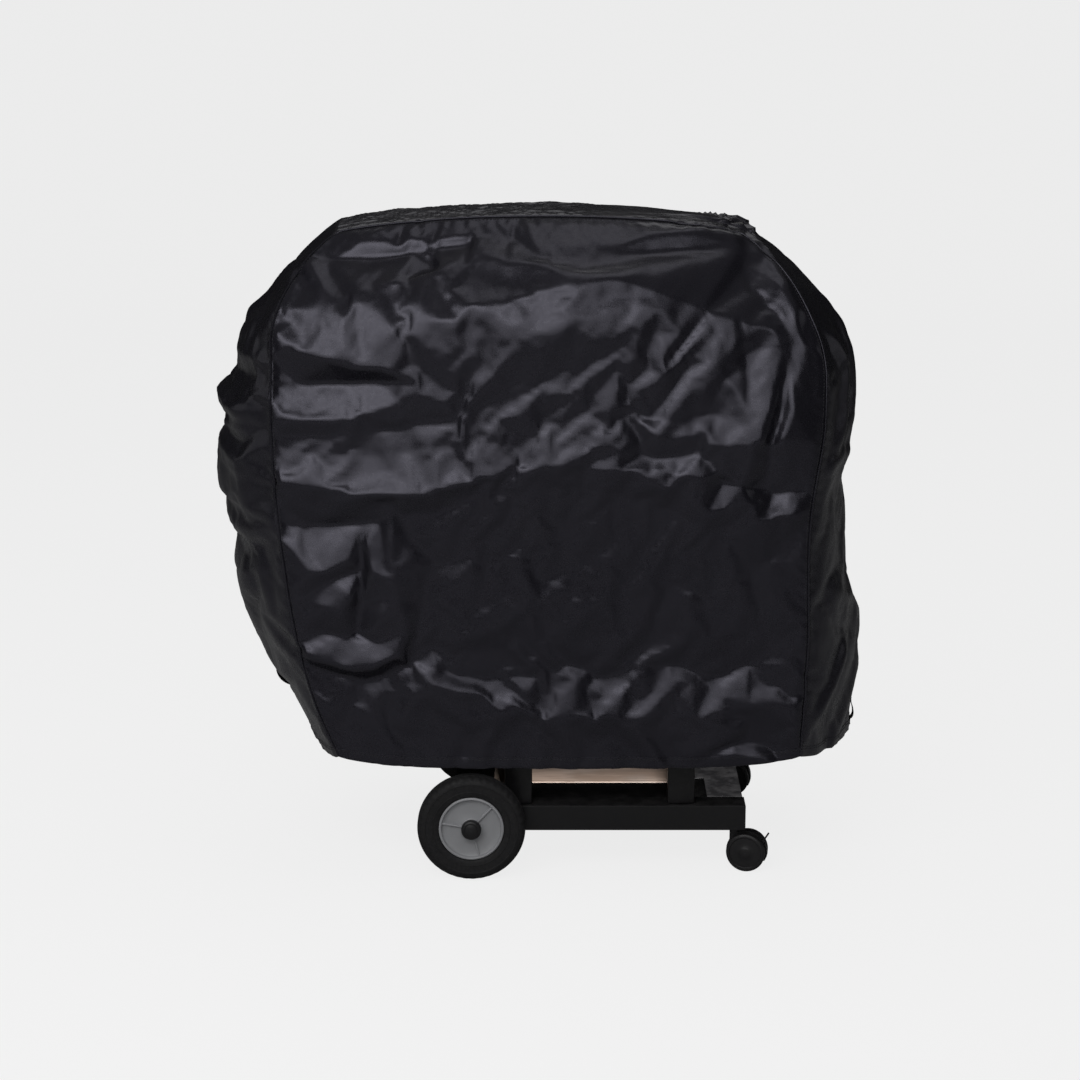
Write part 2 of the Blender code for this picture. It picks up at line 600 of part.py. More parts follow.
def caster(name, side, trail_angle):
    """A twin-wheel swivel caster: a body between two wheels on one axle, a stem and a brake lever."""
    stem = Vector((CASTER_STEM_X, side * CASTER_STEM_Y, 0))
    trail = Vector((math.cos(trail_angle), math.sin(trail_angle), 0))
    across = Z.cross(trail)
    centre = stem + trail * CASTER_TRAIL + Z * CASTER_RADIUS
    body_half, wheel_inner, wheel_outer = 0.0060, 0.0066, 0.0225

    half = across * body_half
    body = rod(name + "_body", centre - half, centre + half, CASTER_BODY_RADIUS, BLACK_PLASTIC, 36)
    neck = block(name + "_neck", (-0.0095, 0.0095), (-body_half, body_half), (0.045, 0.078), None)
    neck.location += stem
    neck.rotation_euler.z = trail_angle
    join(body, neck)
    join(body, rod(name + "_boss", stem + Z * 0.0745, stem + Z * 0.0825, 0.0105, None))
    below = block(name + "_below", (-0.05, 0.05), (-0.02, 0.02), (-0.02, 0.020), None)
    below.location += Vector((centre.x, centre.y, 0))
    below.rotation_euler.z = trail_angle
    cut(body, below)
    cut(body, rod(name + "_stem_bore", stem + Z * 0.0625, stem + Z * 0.09, STEM_RADIUS + GAP, None))
    cut(body, rod(name + "_axle_bore", centre - across * 0.02, centre + across * 0.02, 0.0033, None))
    rise = Matrix.Rotation(trail_angle, 4, "Z") @ Matrix.Rotation(-LEVER_PIVOT_ANGLE, 4, "Y")
    pivot = centre + rise @ Vector((LEVER_PIVOT_RADIUS, 0, 0))
    cut(body, rod(name + "_lever_notch", pivot - across * 0.02, pivot + across * 0.02, 0.0056, None))
    pin = rod(name + "_stem", stem + Z * 0.0630, stem + Z * 0.125, STEM_RADIUS, BARE_STEEL, 16)

    half = across * 0.0056
    lever = rod(name + "_brake_lever", pivot - half, pivot + half, 0.0038, BLACK_PLASTIC, 16)
    arm = block(name + "_lever_arm", (0.001, 0.019), (-0.0050, 0.0050), (-0.0015, 0.0015), None)
    arm.data.transform(Matrix.Translation(arm.location))
    lift = Matrix.Rotation(trail_angle, 4, "Z") @ Matrix.Rotation(-LEVER_ANGLE, 4, "Y")
    arm.matrix_world = Matrix.Translation(pivot) @ lift
    join(lever, arm)

    wheels = []
    for label, way in (("outer", side), ("inner", -side)):
        places = centre + across * way * wheel_inner, centre + across * way * wheel_outer
        disc = rod(f"{name}_{label}_wheel", *places, CASTER_RADIUS, BLACK_PLASTIC, 36, 0.003)
        inside = centre + across * way * (wheel_inner - 0.01), centre + across * way * (wheel_outer - 0.004)
        wheels.append(cut(disc, rod(f"{name}_{label}_wheel_bore", *inside, 0.0033, None)))
    axle = rod(name + "_axle", centre - across * 0.018, centre + across * 0.018, 0.0030, BARE_STEEL, 16)

    attach(empty(name + "_swivel", stem), body, pin)
    attach(empty(name + "_wheel_pivot", centre), axle, *wheels)
    attach(empty(name + "_lever_pivot", pivot), lever)


cover()
base_frame()
shelf()
legs()
firebox_and_hood()
hood_fittings()
side_shelves()
axle_group()
caster("front_caster", -1, math.radians(-15))
caster("rear_caster", 1, math.radians(-12))
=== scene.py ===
"""The finished look of a vinyl grill cover on its wheeled barbecue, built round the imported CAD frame.

Metres, +Z up, front towards -Y. The cover is one sewn sheet: its outline curves give a smooth form,
creases with flat facets between them are laid into it, a cloth simulation held near that form settles
it over the barbecue, and it is then cut into its front panel, gusset and back panel. Seams, hem, stitches,
webbing, wheels and casters get pieces of their own.
"""

import json
import math

import bmesh
import bpy
import numpy as np
from mathutils import Matrix, Vector
from mathutils.geometry import delaunay_2d_cdt

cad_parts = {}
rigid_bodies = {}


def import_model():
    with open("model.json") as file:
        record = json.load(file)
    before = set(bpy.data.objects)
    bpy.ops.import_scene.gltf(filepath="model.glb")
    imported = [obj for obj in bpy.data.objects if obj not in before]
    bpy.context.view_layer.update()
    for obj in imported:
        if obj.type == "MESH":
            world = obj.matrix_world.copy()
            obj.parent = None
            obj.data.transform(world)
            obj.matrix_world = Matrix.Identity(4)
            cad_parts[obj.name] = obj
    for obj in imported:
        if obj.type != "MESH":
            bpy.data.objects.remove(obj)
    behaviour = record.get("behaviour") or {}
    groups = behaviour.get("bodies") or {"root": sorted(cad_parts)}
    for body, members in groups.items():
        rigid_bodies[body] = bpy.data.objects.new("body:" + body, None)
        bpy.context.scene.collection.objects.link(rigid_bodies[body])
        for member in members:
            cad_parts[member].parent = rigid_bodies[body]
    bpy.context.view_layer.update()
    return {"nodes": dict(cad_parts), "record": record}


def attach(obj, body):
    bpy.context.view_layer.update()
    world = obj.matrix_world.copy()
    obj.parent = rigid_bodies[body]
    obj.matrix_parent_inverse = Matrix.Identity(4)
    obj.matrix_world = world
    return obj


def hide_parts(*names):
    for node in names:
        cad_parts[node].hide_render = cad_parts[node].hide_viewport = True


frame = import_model()
SCENE = bpy.context.scene
NODES = frame["nodes"]

# ---- the cover's form: (height, distance) pairs joined by smooth curves ---------------------------

HEM_Z = 0.2215
SHOULDER_Z = 1.222
CROWN = 0.025
CORNER_DROP = 0.005
TOP_BULGE = 0.004
TOP_FALL = 0.028  # how far the top slopes down from the front seam to the back one
HALF_DEPTH = [(0.20, 0.300), (0.78, 0.300), (0.95, 0.294), (1.06, 0.274), (1.15, 0.220), (1.26, 0.130)]
SEAM_LEFT = [(0.20, 0.372), (0.35, 0.425), (0.63, 0.477), (0.98, 0.492), (1.06, 0.488), (1.16, 0.440),
             (1.26, 0.335)]
SEAM_RIGHT = [(0.20, 0.489), (0.45, 0.500), (0.70, 0.500), (0.89, 0.524), (1.03, 0.515), (1.14, 0.460),
              (1.26, 0.335)]
BULGE_LEFT = [(0.20, 0.438), (0.30, 0.482), (0.40, 0.534), (0.49, 0.570), (0.56, 0.592), (0.64, 0.588),
              (0.71, 0.616), (0.80, 0.604), (0.90, 0.598), (1.00, 0.570), (1.09, 0.505), (1.18, 0.432),
              (1.26, 0.335)]
BULGE_RIGHT = [(0.20, 0.610), (0.30, 0.614), (0.40, 0.622), (0.50, 0.602), (0.60, 0.590), (0.71, 0.584),
               (0.81, 0.594), (0.90, 0.602), (1.00, 0.590), (1.09, 0.534), (1.18, 0.432), (1.26, 0.335)]
SIDE_CELLS, TOP_CELLS, DEPTH_CELLS = 96, 84, 44  # of the cloth; the finished sheet has twice as many
SHEET_THICKNESS = 0.0012
SEAM_RISE = 0.026  # how far the seams pull the hem up


def smooth(pairs, at):
    """The smooth curve through (height, value) pairs, at an array of heights."""
    heights, values = np.array(pairs).T
    slopes = np.gradient(values, heights)
    i = np.clip(np.searchsorted(heights, at) - 1, 0, len(heights) - 2)
    step = heights[i + 1] - heights[i]
    t = (at - heights[i]) / step
    rise = values[i] * (2 * t**3 - 3 * t**2 + 1) + values[i + 1] * (3 * t**2 - 2 * t**3)
    return rise + step * (slopes[i] * (t**3 - 2 * t**2 + t) + slopes[i + 1] * (t**3 - t**2))


def ease(value, low, high):
    """0 at or below low, 1 at or above high, smooth between."""
    t = np.clip((value - low) / (high - low), 0, 1)
    return t * t * (3 - 2 * t)


def seam_points(across, up):
    """Points of the front panel: across runs -1 to 1, up runs 0 at the hem to 1 at the top."""
    base = HEM_Z + up * (SHOULDER_Z - HEM_Z)
    left, right = -smooth(SEAM_LEFT, base), smooth(SEAM_RIGHT, base)
    x = left + (right - left) * (across + 1) / 2
    z = base + CROWN * (1 - across**2) * up**4 - CORNER_DROP * np.exp((np.abs(across) - 1) / 0.12) * up**20
    return np.stack([x, -smooth(HALF_DEPTH, base) + 0 * x, z], axis=-1)


def gusset_points(across, up, w):
    """Points of the gusset: w runs -1 at the front seam to 1 at the back seam."""
    seam = seam_points(across, up)
    fullness = 1 - np.abs(w) ** (1.6 + 1.4 * up)
    out = np.where(across < 0, -smooth(BULGE_LEFT, seam[..., 2]), smooth(BULGE_RIGHT, seam[..., 2]))
    side = np.where(np.abs(across) == 1, 1 - up**40, 0)
    x = seam[..., 0] + (out - seam[..., 0]) * fullness * side
    z = seam[..., 2] + TOP_BULGE * fullness * up**6
    return np.stack([x, -w * seam[..., 1], z], axis=-1)


def quads(index):
    corners = [index[:-1, :-1], index[1:, :-1], index[1:, 1:], index[:-1, 1:]]
    return np.stack(corners, axis=-1).reshape(-1, 4)


def wrapped(index):
    """A grid of point numbers whose rows close into rings."""
    return np.concatenate([index, index[:, :1]], axis=1)


def square_faces(index):
    return [list(face) for face in quads(index)]


class Sheet:
    """The whole cover as one mesh of three grids that share their seam points.

    grids holds the point numbers of the front and the back, each up by across, and of the gusset,
    along by front-to-back. Along runs up the left side, over the top and down the right side.
    """

    def __init__(self, fineness):
        n, m, d = SIDE_CELLS * fineness, TOP_CELLS * fineness, DEPTH_CELLS * fineness
        across = np.concatenate([np.full(n, -1.0), np.linspace(-1, 1, m + 1), np.full(n, 1.0)])
        up = np.concatenate([np.arange(n) / n, np.ones(m + 1), 1 - np.arange(1, n + 1) / n])
        w = np.linspace(-1, 1, d + 1)
        grid = gusset_points(across[:, None], up[:, None], w[None, :])
        gusset = np.arange(len(across) * (d + 1)).reshape(len(across), d + 1)
        self.grids = {"gusset": gusset}
        self.faces = {"gusset": quads(gusset)}
        points, count = [grid.reshape(-1, 3)], gusset.size
        for name, side in (("front", 0), ("back", d)):
            panel = seam_points(np.linspace(-1, 1, m + 1)[None, :], (np.arange(n + 1) / n)[:, None])
            panel[..., 1] *= -1 if side else 1
            index = np.full((n + 1, m + 1), -1)
            rim = gusset[:, side]
            index[:, 0], index[n, :], index[:, m] = rim[: n + 1], rim[n : n + m + 1], rim[n + m :][::-1]
            free = index < 0
            index[free] = count + np.arange(free.sum())
            count += free.sum()
            points.append(panel[free])
            self.grids[name] = index
            self.faces[name] = quads(index) if side else quads(index)[:, ::-1]
        self.points = np.concatenate(points)
        height = (self.points[:, 2] - HEM_Z) / (SHOULDER_Z - HEM_Z)
        self.points[:, 2] -= TOP_FALL * ease(self.points[:, 1], 0.0, 0.15) * height**8
        self.seams = {"front": gusset[:, 0], "back": gusset[:, d]}
        self.up = (self.points[:, 2] - HEM_Z) / (SHOULDER_Z - HEM_Z)
        self.from_seam = self.seam_distance(gusset)
        self.points[:, 2] += SEAM_RISE * np.exp(-self.from_seam / 0.09) * np.clip(1 - self.up, 0, 1) ** 8

    def seam_distance(self, gusset):
        """How far each point is from the nearest seam, along the sheet."""
        distance = np.zeros(len(self.points))
        rows = self.points[gusset]
        step = np.linalg.norm(np.diff(rows, axis=1), axis=2)
        from_front = np.concatenate([np.zeros((len(rows), 1)), np.cumsum(step, axis=1)], axis=1)
        distance[gusset] = np.minimum(from_front, from_front[:, -1:] - from_front)
        for name in ("front", "back"):
            index = self.grids[name]
            x, z = self.points[index][..., 0], self.points[index][..., 2]
            sides = np.minimum(x - x[:, :1], x[:, -1:] - x)
            distance[index] = np.minimum(sides, z[-1:] - z)
        return distance

    def all_faces(self):
        return np.concatenate([self.faces[name] for name in ("front", "gusset", "back")])


# ---- meshes -------------------------------------------------------------------------------------


def in_scene(name, data):
    obj = bpy.data.objects.new(name, data)
    SCENE.collection.objects.link(obj)
    return obj


def mesh_object(name, points, faces, finish=None, sharp_over=None):
    mesh = bpy.data.meshes.new(name)
    mesh.from_pydata([tuple(p) for p in points], [], [tuple(int(i) for i in f) for f in faces])
    mesh.update()
    mesh.shade_smooth()
    if sharp_over:
        mesh.set_sharp_from_angle(angle=math.radians(sharp_over))
    if finish:
        mesh.materials.append(finish)
    return in_scene(name, mesh)


def solid(name, points, faces, finish, sharp_over=35):
    """A closed mesh whose faces are turned to look outwards."""
    points = np.asarray(points)
    volume = 0.0
    for face in faces:
        corners = points[list(face)]
        for a, b in zip(corners[1:-1], corners[2:]):
            volume += np.dot(corners[0], np.cross(a, b))
    if volume < 0:
        faces = [list(face)[::-1] for face in faces]
    return mesh_object(name, points, faces, finish, sharp_over)


def read_vectors(items, key):
    flat = np.empty(len(items) * 3)
    items.foreach_get(key, flat)
    return flat.reshape(-1, 3)


def evaluated(obj):
    graph = bpy.context.evaluated_depsgraph_get()
    graph.update()
    return bpy.data.meshes.new_from_object(obj.evaluated_get(graph))


def basis(axis):
    """Two directions square to an axis, and the axis."""
    axis = Vector(axis).normalized()
    side = axis.orthogonal().normalized()
    return np.array(side), np.array(axis.cross(side)), np.array(axis)


def lathe(name, profile, centre, axis, finish, steps=96, change=None, sharp_over=35):
    """Turns a closed outline of (radius, along) points about an axis."""
    u, v, along = basis(axis)
    profile = np.array([p[:2] for p in profile])
    angle = np.arange(steps) * 2 * math.pi / steps
    radius = np.repeat(profile[:, :1], steps, axis=1)
    if change:
        radius = change(radius, np.repeat(profile[:, 1:], steps, axis=1), angle[None, :])
    points = radius[..., None] * (np.cos(angle)[:, None] * u + np.sin(angle)[:, None] * v)
    points = points + profile[:, 1, None, None] * along + np.array(centre)
    index = np.arange(len(profile) * steps).reshape(len(profile), steps)
    ring = wrapped(index)
    faces = square_faces(np.concatenate([ring, ring[:1]], axis=0))
    return solid(name, points.reshape(-1, 3), faces, finish, sharp_over)


def soft_box(name, size, place, radius, finish):
    """A box with rounded edges, placed by a matrix."""
    shape = bmesh.new()
    bmesh.ops.create_cube(shape, size=1)
    bmesh.ops.scale(shape, vec=size, verts=shape.verts)
    bmesh.ops.bevel(shape, geom=shape.edges[:], offset=radius, segments=3, affect="EDGES", profile=0.5)
    bmesh.ops.transform(shape, matrix=place, verts=shape.verts)
    mesh = bpy.data.meshes.new(name)
    shape.to_mesh(mesh)
    shape.free()
    mesh.shade_smooth()
    mesh.set_sharp_from_angle(angle=math.radians(40))
    mesh.materials.append(finish)
    return in_scene(name, mesh)


def joined(name, pieces):
    """One object from several that share a finish."""
    points, faces, count = [], [], 0
    for piece in pieces:
        points.append(read_vectors(piece.data.vertices, "co"))
        faces += [[i + count for i in polygon.vertices] for polygon in piece.data.polygons]
        count += len(piece.data.vertices)
    finish = pieces[0].data.materials[0]
    for piece in pieces:
        bpy.data.objects.remove(piece)
    return mesh_object(name, np.concatenate(points), faces, finish, 35)


# ---- creases and folds --------------------------------------------------------------------------

# The front's creases: (x, z, height in mm) points. Flat facets are stretched between them.
FRONT_CREASES = {
    "main": [(-0.500, 1.039, 4), (-0.441, 1.074, 10), (-0.378, 1.101, 13), (-0.323, 1.114, 14),
             (-0.264, 1.130, 14), (-0.186, 1.158, 12), (-0.131, 1.167, 13), (-0.076, 1.165, 16),
             (-0.029, 1.158, 20), (0.017, 1.147, 26), (0.072, 1.136, 32), (0.136, 1.124, 36),
             (0.200, 1.109, 33), (0.291, 1.083, 25), (0.364, 1.060, 18), (0.428, 1.043, 14),
             (0.464, 1.036, 10), (0.505, 1.008, 4)],
    "bend": [(-0.240, 1.020, 16), (-0.200, 1.060, 19), (-0.120, 1.085, 22), (-0.030, 1.100, 27),
             (0.050, 1.117, 33), (0.136, 1.124, 36)],
    "tongue": [(-0.500, 1.039, 4), (-0.441, 1.016, 13), (-0.386, 1.001, 18), (-0.331, 0.986, 20),
               (-0.281, 0.984, 19), (-0.245, 0.962, 10)],
    "valley": [(-0.500, 0.952, -6), (-0.440, 0.955, -12), (-0.370, 0.957, -12), (-0.300, 0.960, -6),
               (-0.245, 0.962, 10)],
    "second_ridge": [(-0.495, 0.893, 4), (-0.440, 0.890, 6), (-0.380, 0.888, 6), (-0.322, 0.898, 6),
                     (-0.258, 0.925, 8), (-0.200, 0.950, 10)],
    "dark_line": [(-0.495, 0.863, -3), (-0.396, 0.859, -4), (-0.322, 0.866, -3), (-0.231, 0.879, 0),
                  (-0.148, 0.887, 4), (-0.075, 0.884, 8), (-0.002, 0.852, 13)],
    "band_top": [(-0.480, 0.835, -2), (-0.390, 0.825, 0), (-0.300, 0.825, 1), (-0.200, 0.840, 4),
                 (-0.110, 0.848, 8), (-0.040, 0.840, 12)],
    "band": [(-0.490, 0.778, 9), (-0.397, 0.765, 15), (-0.323, 0.754, 18), (-0.232, 0.754, 19),
             (-0.149, 0.772, 19), (-0.075, 0.790, 19), (-0.002, 0.805, 19), (0.053, 0.808, 19),
             (0.127, 0.797, 20), (0.200, 0.778, 20), (0.256, 0.752, 20), (0.302, 0.725, 19),
             (0.340, 0.722, 16)],
    "under_band": [(-0.488, 0.738, 3), (-0.398, 0.712, 3), (-0.324, 0.714, 3), (-0.232, 0.716, 5),
                   (-0.149, 0.730, 8), (-0.075, 0.748, 9), (-0.002, 0.762, 10), (0.053, 0.766, 10),
                   (0.127, 0.753, 10), (0.200, 0.736, 9), (0.256, 0.710, 9), (0.302, 0.684, 8),
                   (0.340, 0.680, 8)],
    "low_left_top": [(-0.482, 0.691, -6), (-0.420, 0.690, -8), (-0.352, 0.691, -8), (-0.300, 0.698, -5),
                     (-0.274, 0.712, 3)],
    "flat_middle": [(-0.20, 0.62, -3), (-0.10, 0.63, -2), (0.02, 0.64, -1), (0.12, 0.62, -2),
                    (0.24, 0.58, -3), (0.34, 0.56, -2)],
    "low_left": [(-0.470, 0.660, 2), (-0.418, 0.603, 12), (-0.385, 0.610, 11), (-0.353, 0.626, 7),
                 (-0.340, 0.670, -3)],
    "low_left_second": [(-0.440, 0.560, 2), (-0.414, 0.572, 4), (-0.385, 0.588, 4), (-0.350, 0.562, 11),
                        (-0.368, 0.530, 14), (-0.405, 0.542, 10)],
    "upright_groove": [(-0.334, 0.664, -4), (-0.331, 0.607, -8), (-0.336, 0.540, -8), (-0.342, 0.483, -6)],
    "groove_lip": [(-0.322, 0.655, 3), (-0.310, 0.606, 12), (-0.280, 0.592, 9), (-0.265, 0.560, 6),
                   (-0.290, 0.520, 8), (-0.318, 0.490, 4)],
    "tail": [(-0.470, 0.456, 4), (-0.449, 0.449, 8), (-0.394, 0.432, 12), (-0.356, 0.421, 15),
             (-0.314, 0.423, 16), (-0.267, 0.446, 13), (-0.250, 0.492, 5)],
    "above_tail": [(-0.455, 0.505, 0), (-0.400, 0.490, 0), (-0.355, 0.478, 2), (-0.305, 0.470, 2)],
    "below_tail": [(-0.440, 0.425, -4), (-0.394, 0.410, -6), (-0.329, 0.395, -8), (-0.285, 0.405, -7)],
    "hollow": [(-0.237, 0.425, -6), (-0.151, 0.402, -8), (-0.077, 0.395, -10), (-0.002, 0.402, -10),
               (0.054, 0.420, -10), (0.110, 0.398, -10), (0.185, 0.416, -10), (0.259, 0.418, -10),
               (0.334, 0.397, -9), (0.399, 0.425, -8), (0.455, 0.444, -4)],
    "small_flare": [(-0.235, 0.412, -3), (-0.198, 0.385, 4), (-0.151, 0.372, 3), (-0.100, 0.368, 0)],
    "flare": [(-0.28, 0.315, 0), (-0.15, 0.318, 2), (0.00, 0.322, 4), (0.15, 0.322, 4), (0.30, 0.325, 5),
              (0.42, 0.345, 5)],
    "lower_panel": [(-0.36, 0.262, 0), (-0.20, 0.255, 0), (0.00, 0.258, 0), (0.18, 0.262, 0)],
    "slope_hollow": [(-0.394, 1.177, -6), (-0.306, 1.177, -7), (-0.232, 1.186, -5), (-0.130, 1.200, -3)],
    "slope_wedge": [(0.00, 1.170, 18), (0.07, 1.176, 19), (0.13, 1.180, 17)],
    "peak_one": [(-0.345, 1.187, -2), (-0.325, 1.200, 5), (-0.289, 1.222, 4)],
    "peak_two": [(-0.289, 1.222, 4), (-0.278, 1.200, 5), (-0.265, 1.192, 1)],
    "peak_three": [(-0.250, 1.228, 0), (-0.240, 1.205, 5), (-0.200, 1.202, 2)],
    "peak_four": [(-0.190, 1.225, 0), (-0.150, 1.208, 5), (-0.110, 1.212, 2)],
    "drop_crease": [(-0.195, 1.178, 0), (-0.190, 1.148, 16), (-0.192, 1.125, 19)],
    "streak": [(0.412, 1.148, 6), (0.448, 1.112, 15), (0.470, 1.075, 14), (0.483, 1.045, 6)],
    "streak_left": [(0.376, 1.160, 2), (0.390, 1.120, 2), (0.420, 1.085, 3), (0.442, 1.060, 8)],
    "blades_top": [(0.370, 1.005, 5), (0.412, 1.012, 5), (0.450, 1.008, 5), (0.485, 0.990, 3)],
    "left_blade": [(0.376, 0.968, 8), (0.380, 0.905, 20), (0.392, 0.846, 32)],
    "left_blade_edge": [(0.436, 0.962, 11), (0.420, 0.900, 24), (0.404, 0.850, 33)],
    "blade_groove": [(0.446, 0.965, 6), (0.440, 0.900, 9), (0.420, 0.832, 14)],
    "right_blade": [(0.456, 0.968, 9), (0.463, 0.905, 22), (0.440, 0.852, 27)],
    "right_blade_edge": [(0.470, 0.975, 7), (0.484, 0.905, 14), (0.500, 0.845, 12)],
    "spot_one": [(0.300, 0.900, 9), (0.306, 0.865, 20), (0.312, 0.845, 26), (0.345, 0.842, 25),
                 (0.338, 0.890, 12)],
    "spot_two": [(0.212, 0.892, 10), (0.215, 0.862, 20), (0.238, 0.858, 20), (0.244, 0.888, 11)],
    "spot_three": [(0.286, 0.822, 15), (0.288, 0.785, 25), (0.303, 0.784, 25), (0.306, 0.815, 16)],
    "spot_four": [(0.190, 0.826, 11), (0.196, 0.798, 21), (0.224, 0.796, 22), (0.226, 0.822, 13)],
    "top_lip": [(0.200, 1.206, 15), (0.290, 1.212, 17), (0.350, 1.204, 13)],
    "below_lip": [(0.190, 1.180, 9), (0.290, 1.186, 7), (0.360, 1.178, 5)],
    "knot_left": [(0.325, 0.792, 19), (0.335, 0.775, 8), (0.370, 0.768, 19), (0.415, 0.780, 4),
                  (0.458, 0.780, 8)],
    "knot_down": [(0.370, 0.768, 19), (0.386, 0.735, 20), (0.394, 0.700, 16), (0.409, 0.664, 10),
                  (0.416, 0.620, 3)],
    "pocket": [(0.390, 0.722, 18), (0.413, 0.706, 18), (0.468, 0.713, 16), (0.497, 0.720, 6)],
    "pocket_top": [(0.395, 0.757, 4), (0.430, 0.748, 0), (0.480, 0.752, 0)],
    "low_right_one": [(0.455, 0.270, 4), (0.480, 0.310, 7), (0.488, 0.350, 5)],
    "low_right_two": [(0.425, 0.285, -2), (0.443, 0.330, 5), (0.465, 0.352, 6), (0.480, 0.385, 2)],
    "hem_one": [(0.262, 0.240, 1), (0.327, 0.268, 7), (0.373, 0.297, 6), (0.395, 0.320, 0)],
    "hem_two": [(0.300, 0.232, 0), (0.355, 0.250, 6), (0.431, 0.240, 7), (0.450, 0.236, 3)],
    "hem_groove": [(0.330, 0.256, 0), (0.385, 0.272, -3), (0.430, 0.262, -3)],
}
CREASE_GAIN = 1.15
FRONT_SPOTS = [
    (0.10, 1.03, 22), (0.22, 1.00, 18), (0.10, 0.95, 10), (-0.12, 1.03, 16), (0.00, 1.03, 19),
    (0.36, 0.99, 10), (0.34, 0.96, 11), (0.17, 0.90, 13), (0.07, 0.88, 12), (0.35, 0.89, 14),
    (-0.05, 0.95, 11), (-0.18, 0.99, 13), (-0.34, 1.05, 15), (-0.40, 1.05, 12), (0.10, 0.50, -4),
    (0.30, 0.48, -4), (-0.10, 0.50, -4), (0.42, 0.56, 0), (-0.22, 0.52, -3), (0.45, 0.66, 3),
    (-0.05, 1.205, 4), (0.37, 1.18, 5), (-0.44, 0.33, 0), (-0.36, 0.34, -2),
]


def panel_edge(steps=24):
    """(x, z, 0) points just outside the front panel's outline, where its facets end."""
    made = []
    for z in np.linspace(HEM_Z, SHOULDER_Z, steps):
        made.append((-float(smooth(SEAM_LEFT, z)) - 0.006, z, 0))
        made.append((float(smooth(SEAM_RIGHT, z)) + 0.006, z, 0))
    left, right = -float(smooth(SEAM_LEFT, SHOULDER_Z)), float(smooth(SEAM_RIGHT, SHOULDER_Z))
    for t in np.linspace(0, 1, 12):
        made.append((left + t * (right - left), SHOULDER_Z + 4 * CROWN * t * (1 - t) + 0.008, 0))
        made.append((-0.39 + t * 0.89, HEM_Z - 0.012, 0))
    return made


def facets(at):
    """The front's height in metres at (x, z) points: flat triangles stretched between the creases."""
    corners, edges = [], []
    for crease in FRONT_CREASES.values():
        edges += [(len(corners) + i, len(corners) + i + 1) for i in range(len(crease) - 1)]
        corners += crease
    corners += FRONT_SPOTS + panel_edge()
    places, _, triangles, sources = delaunay_2d_cdt([Vector(c[:2]) for c in corners], edges, [], 0, 1e-4)[:4]
    heights = [np.mean([corners[i][2] for i in source]) if source else 0.0 for source in sources]
    result = np.zeros(len(at))
    for triangle in triangles:
        a, b, c = (np.array(places[i]) for i in triangle)
        area = np.cross(b - a, c - a)
        if abs(area) < 1e-10:
            continue
        u = np.cross(at - a, c - a) / area
        v = np.cross(b - a, at - a) / area
        inside = (u >= -1e-6) & (v >= -1e-6) & (u + v <= 1 + 1e-6)
        ha, hb, hc = (heights[i] for i in triangle)
        result[inside] = (ha + u * (hb - ha) + v * (hc - ha))[inside] / 1000
    return result * CREASE_GAIN


def blurred(grid, times):
    for _ in range(times):
        g = np.pad(grid, 1, mode="edge")
        around = g[:-2, 1:-1] + g[2:, 1:-1] + g[1:-1, :-2] + g[1:-1, 2:]
        grid = (around + 4 * g[1:-1, 1:-1]) / 8
    return grid


def back(*pairs):
    """(x, z) pairs laid on the back panel."""
    return np.array([(x, float(smooth(HALF_DEPTH, z)), z) for x, z in pairs])


def side(bulge, seam, sign, *pairs):
    """(y, z) pairs laid on one side of the gusset."""
    made = []
    for y, z in pairs:
        w = y / float(smooth(HALF_DEPTH, z))
        inner, outer = float(smooth(seam, z)), float(smooth(bulge, z))
        fullness = 1 - abs(w) ** (1.6 + 1.4 * (z - HEM_Z) / (SHOULDER_Z - HEM_Z))
        made.append((sign * (inner + (outer - inner) * fullness), y, z))
    return np.array(made)


def left(*pairs):
    return side(BULGE_LEFT, SEAM_LEFT, -1, *pairs)


def right(*pairs):
    return side(BULGE_RIGHT, SEAM_RIGHT, 1, *pairs)


FOLD_SOFTNESS = 0.004  # how rounded a fold's top is


def fold(points, normals, line, height, above, below):
    """Raises a crease along a line, or sinks it where height is negative.

    It falls off evenly over the distance above on one side and below on the other. above is the side to
    the left of the line's direction, seen from outside. The crease fades towards the line's two ends.
    """
    best = np.full(len(points), 1e9)
    value = np.zeros(len(points))
    lengths = np.linalg.norm(np.diff(line, axis=0), axis=1)
    start, total = 0.0, lengths.sum()
    for a, b, length in zip(line[:-1], line[1:], lengths):
        along = (b - a) / length
        t = np.clip((points - a) @ along, 0, length)
        offset = points - (a + t[:, None] * along)
        distance = np.linalg.norm(offset, axis=1)
        is_above = np.einsum("ij,ij->i", offset, np.cross(normals, along)) > 0
        width = np.where(is_above, above, below)
        softened = np.sqrt(distance**2 + FOLD_SOFTNESS**2) - FOLD_SOFTNESS
        share = (start + t) / total
        taper = ease(np.minimum(share, 1 - share) * 5, 0, 1)
        level = np.clip(1 - softened / (width * (0.35 + 0.65 * taper)), 0, 1) * taper
        nearer = distance < best
        best = np.where(nearer, distance, best)
        value = np.where(nearer, level, value)
        start += length
    return value * height


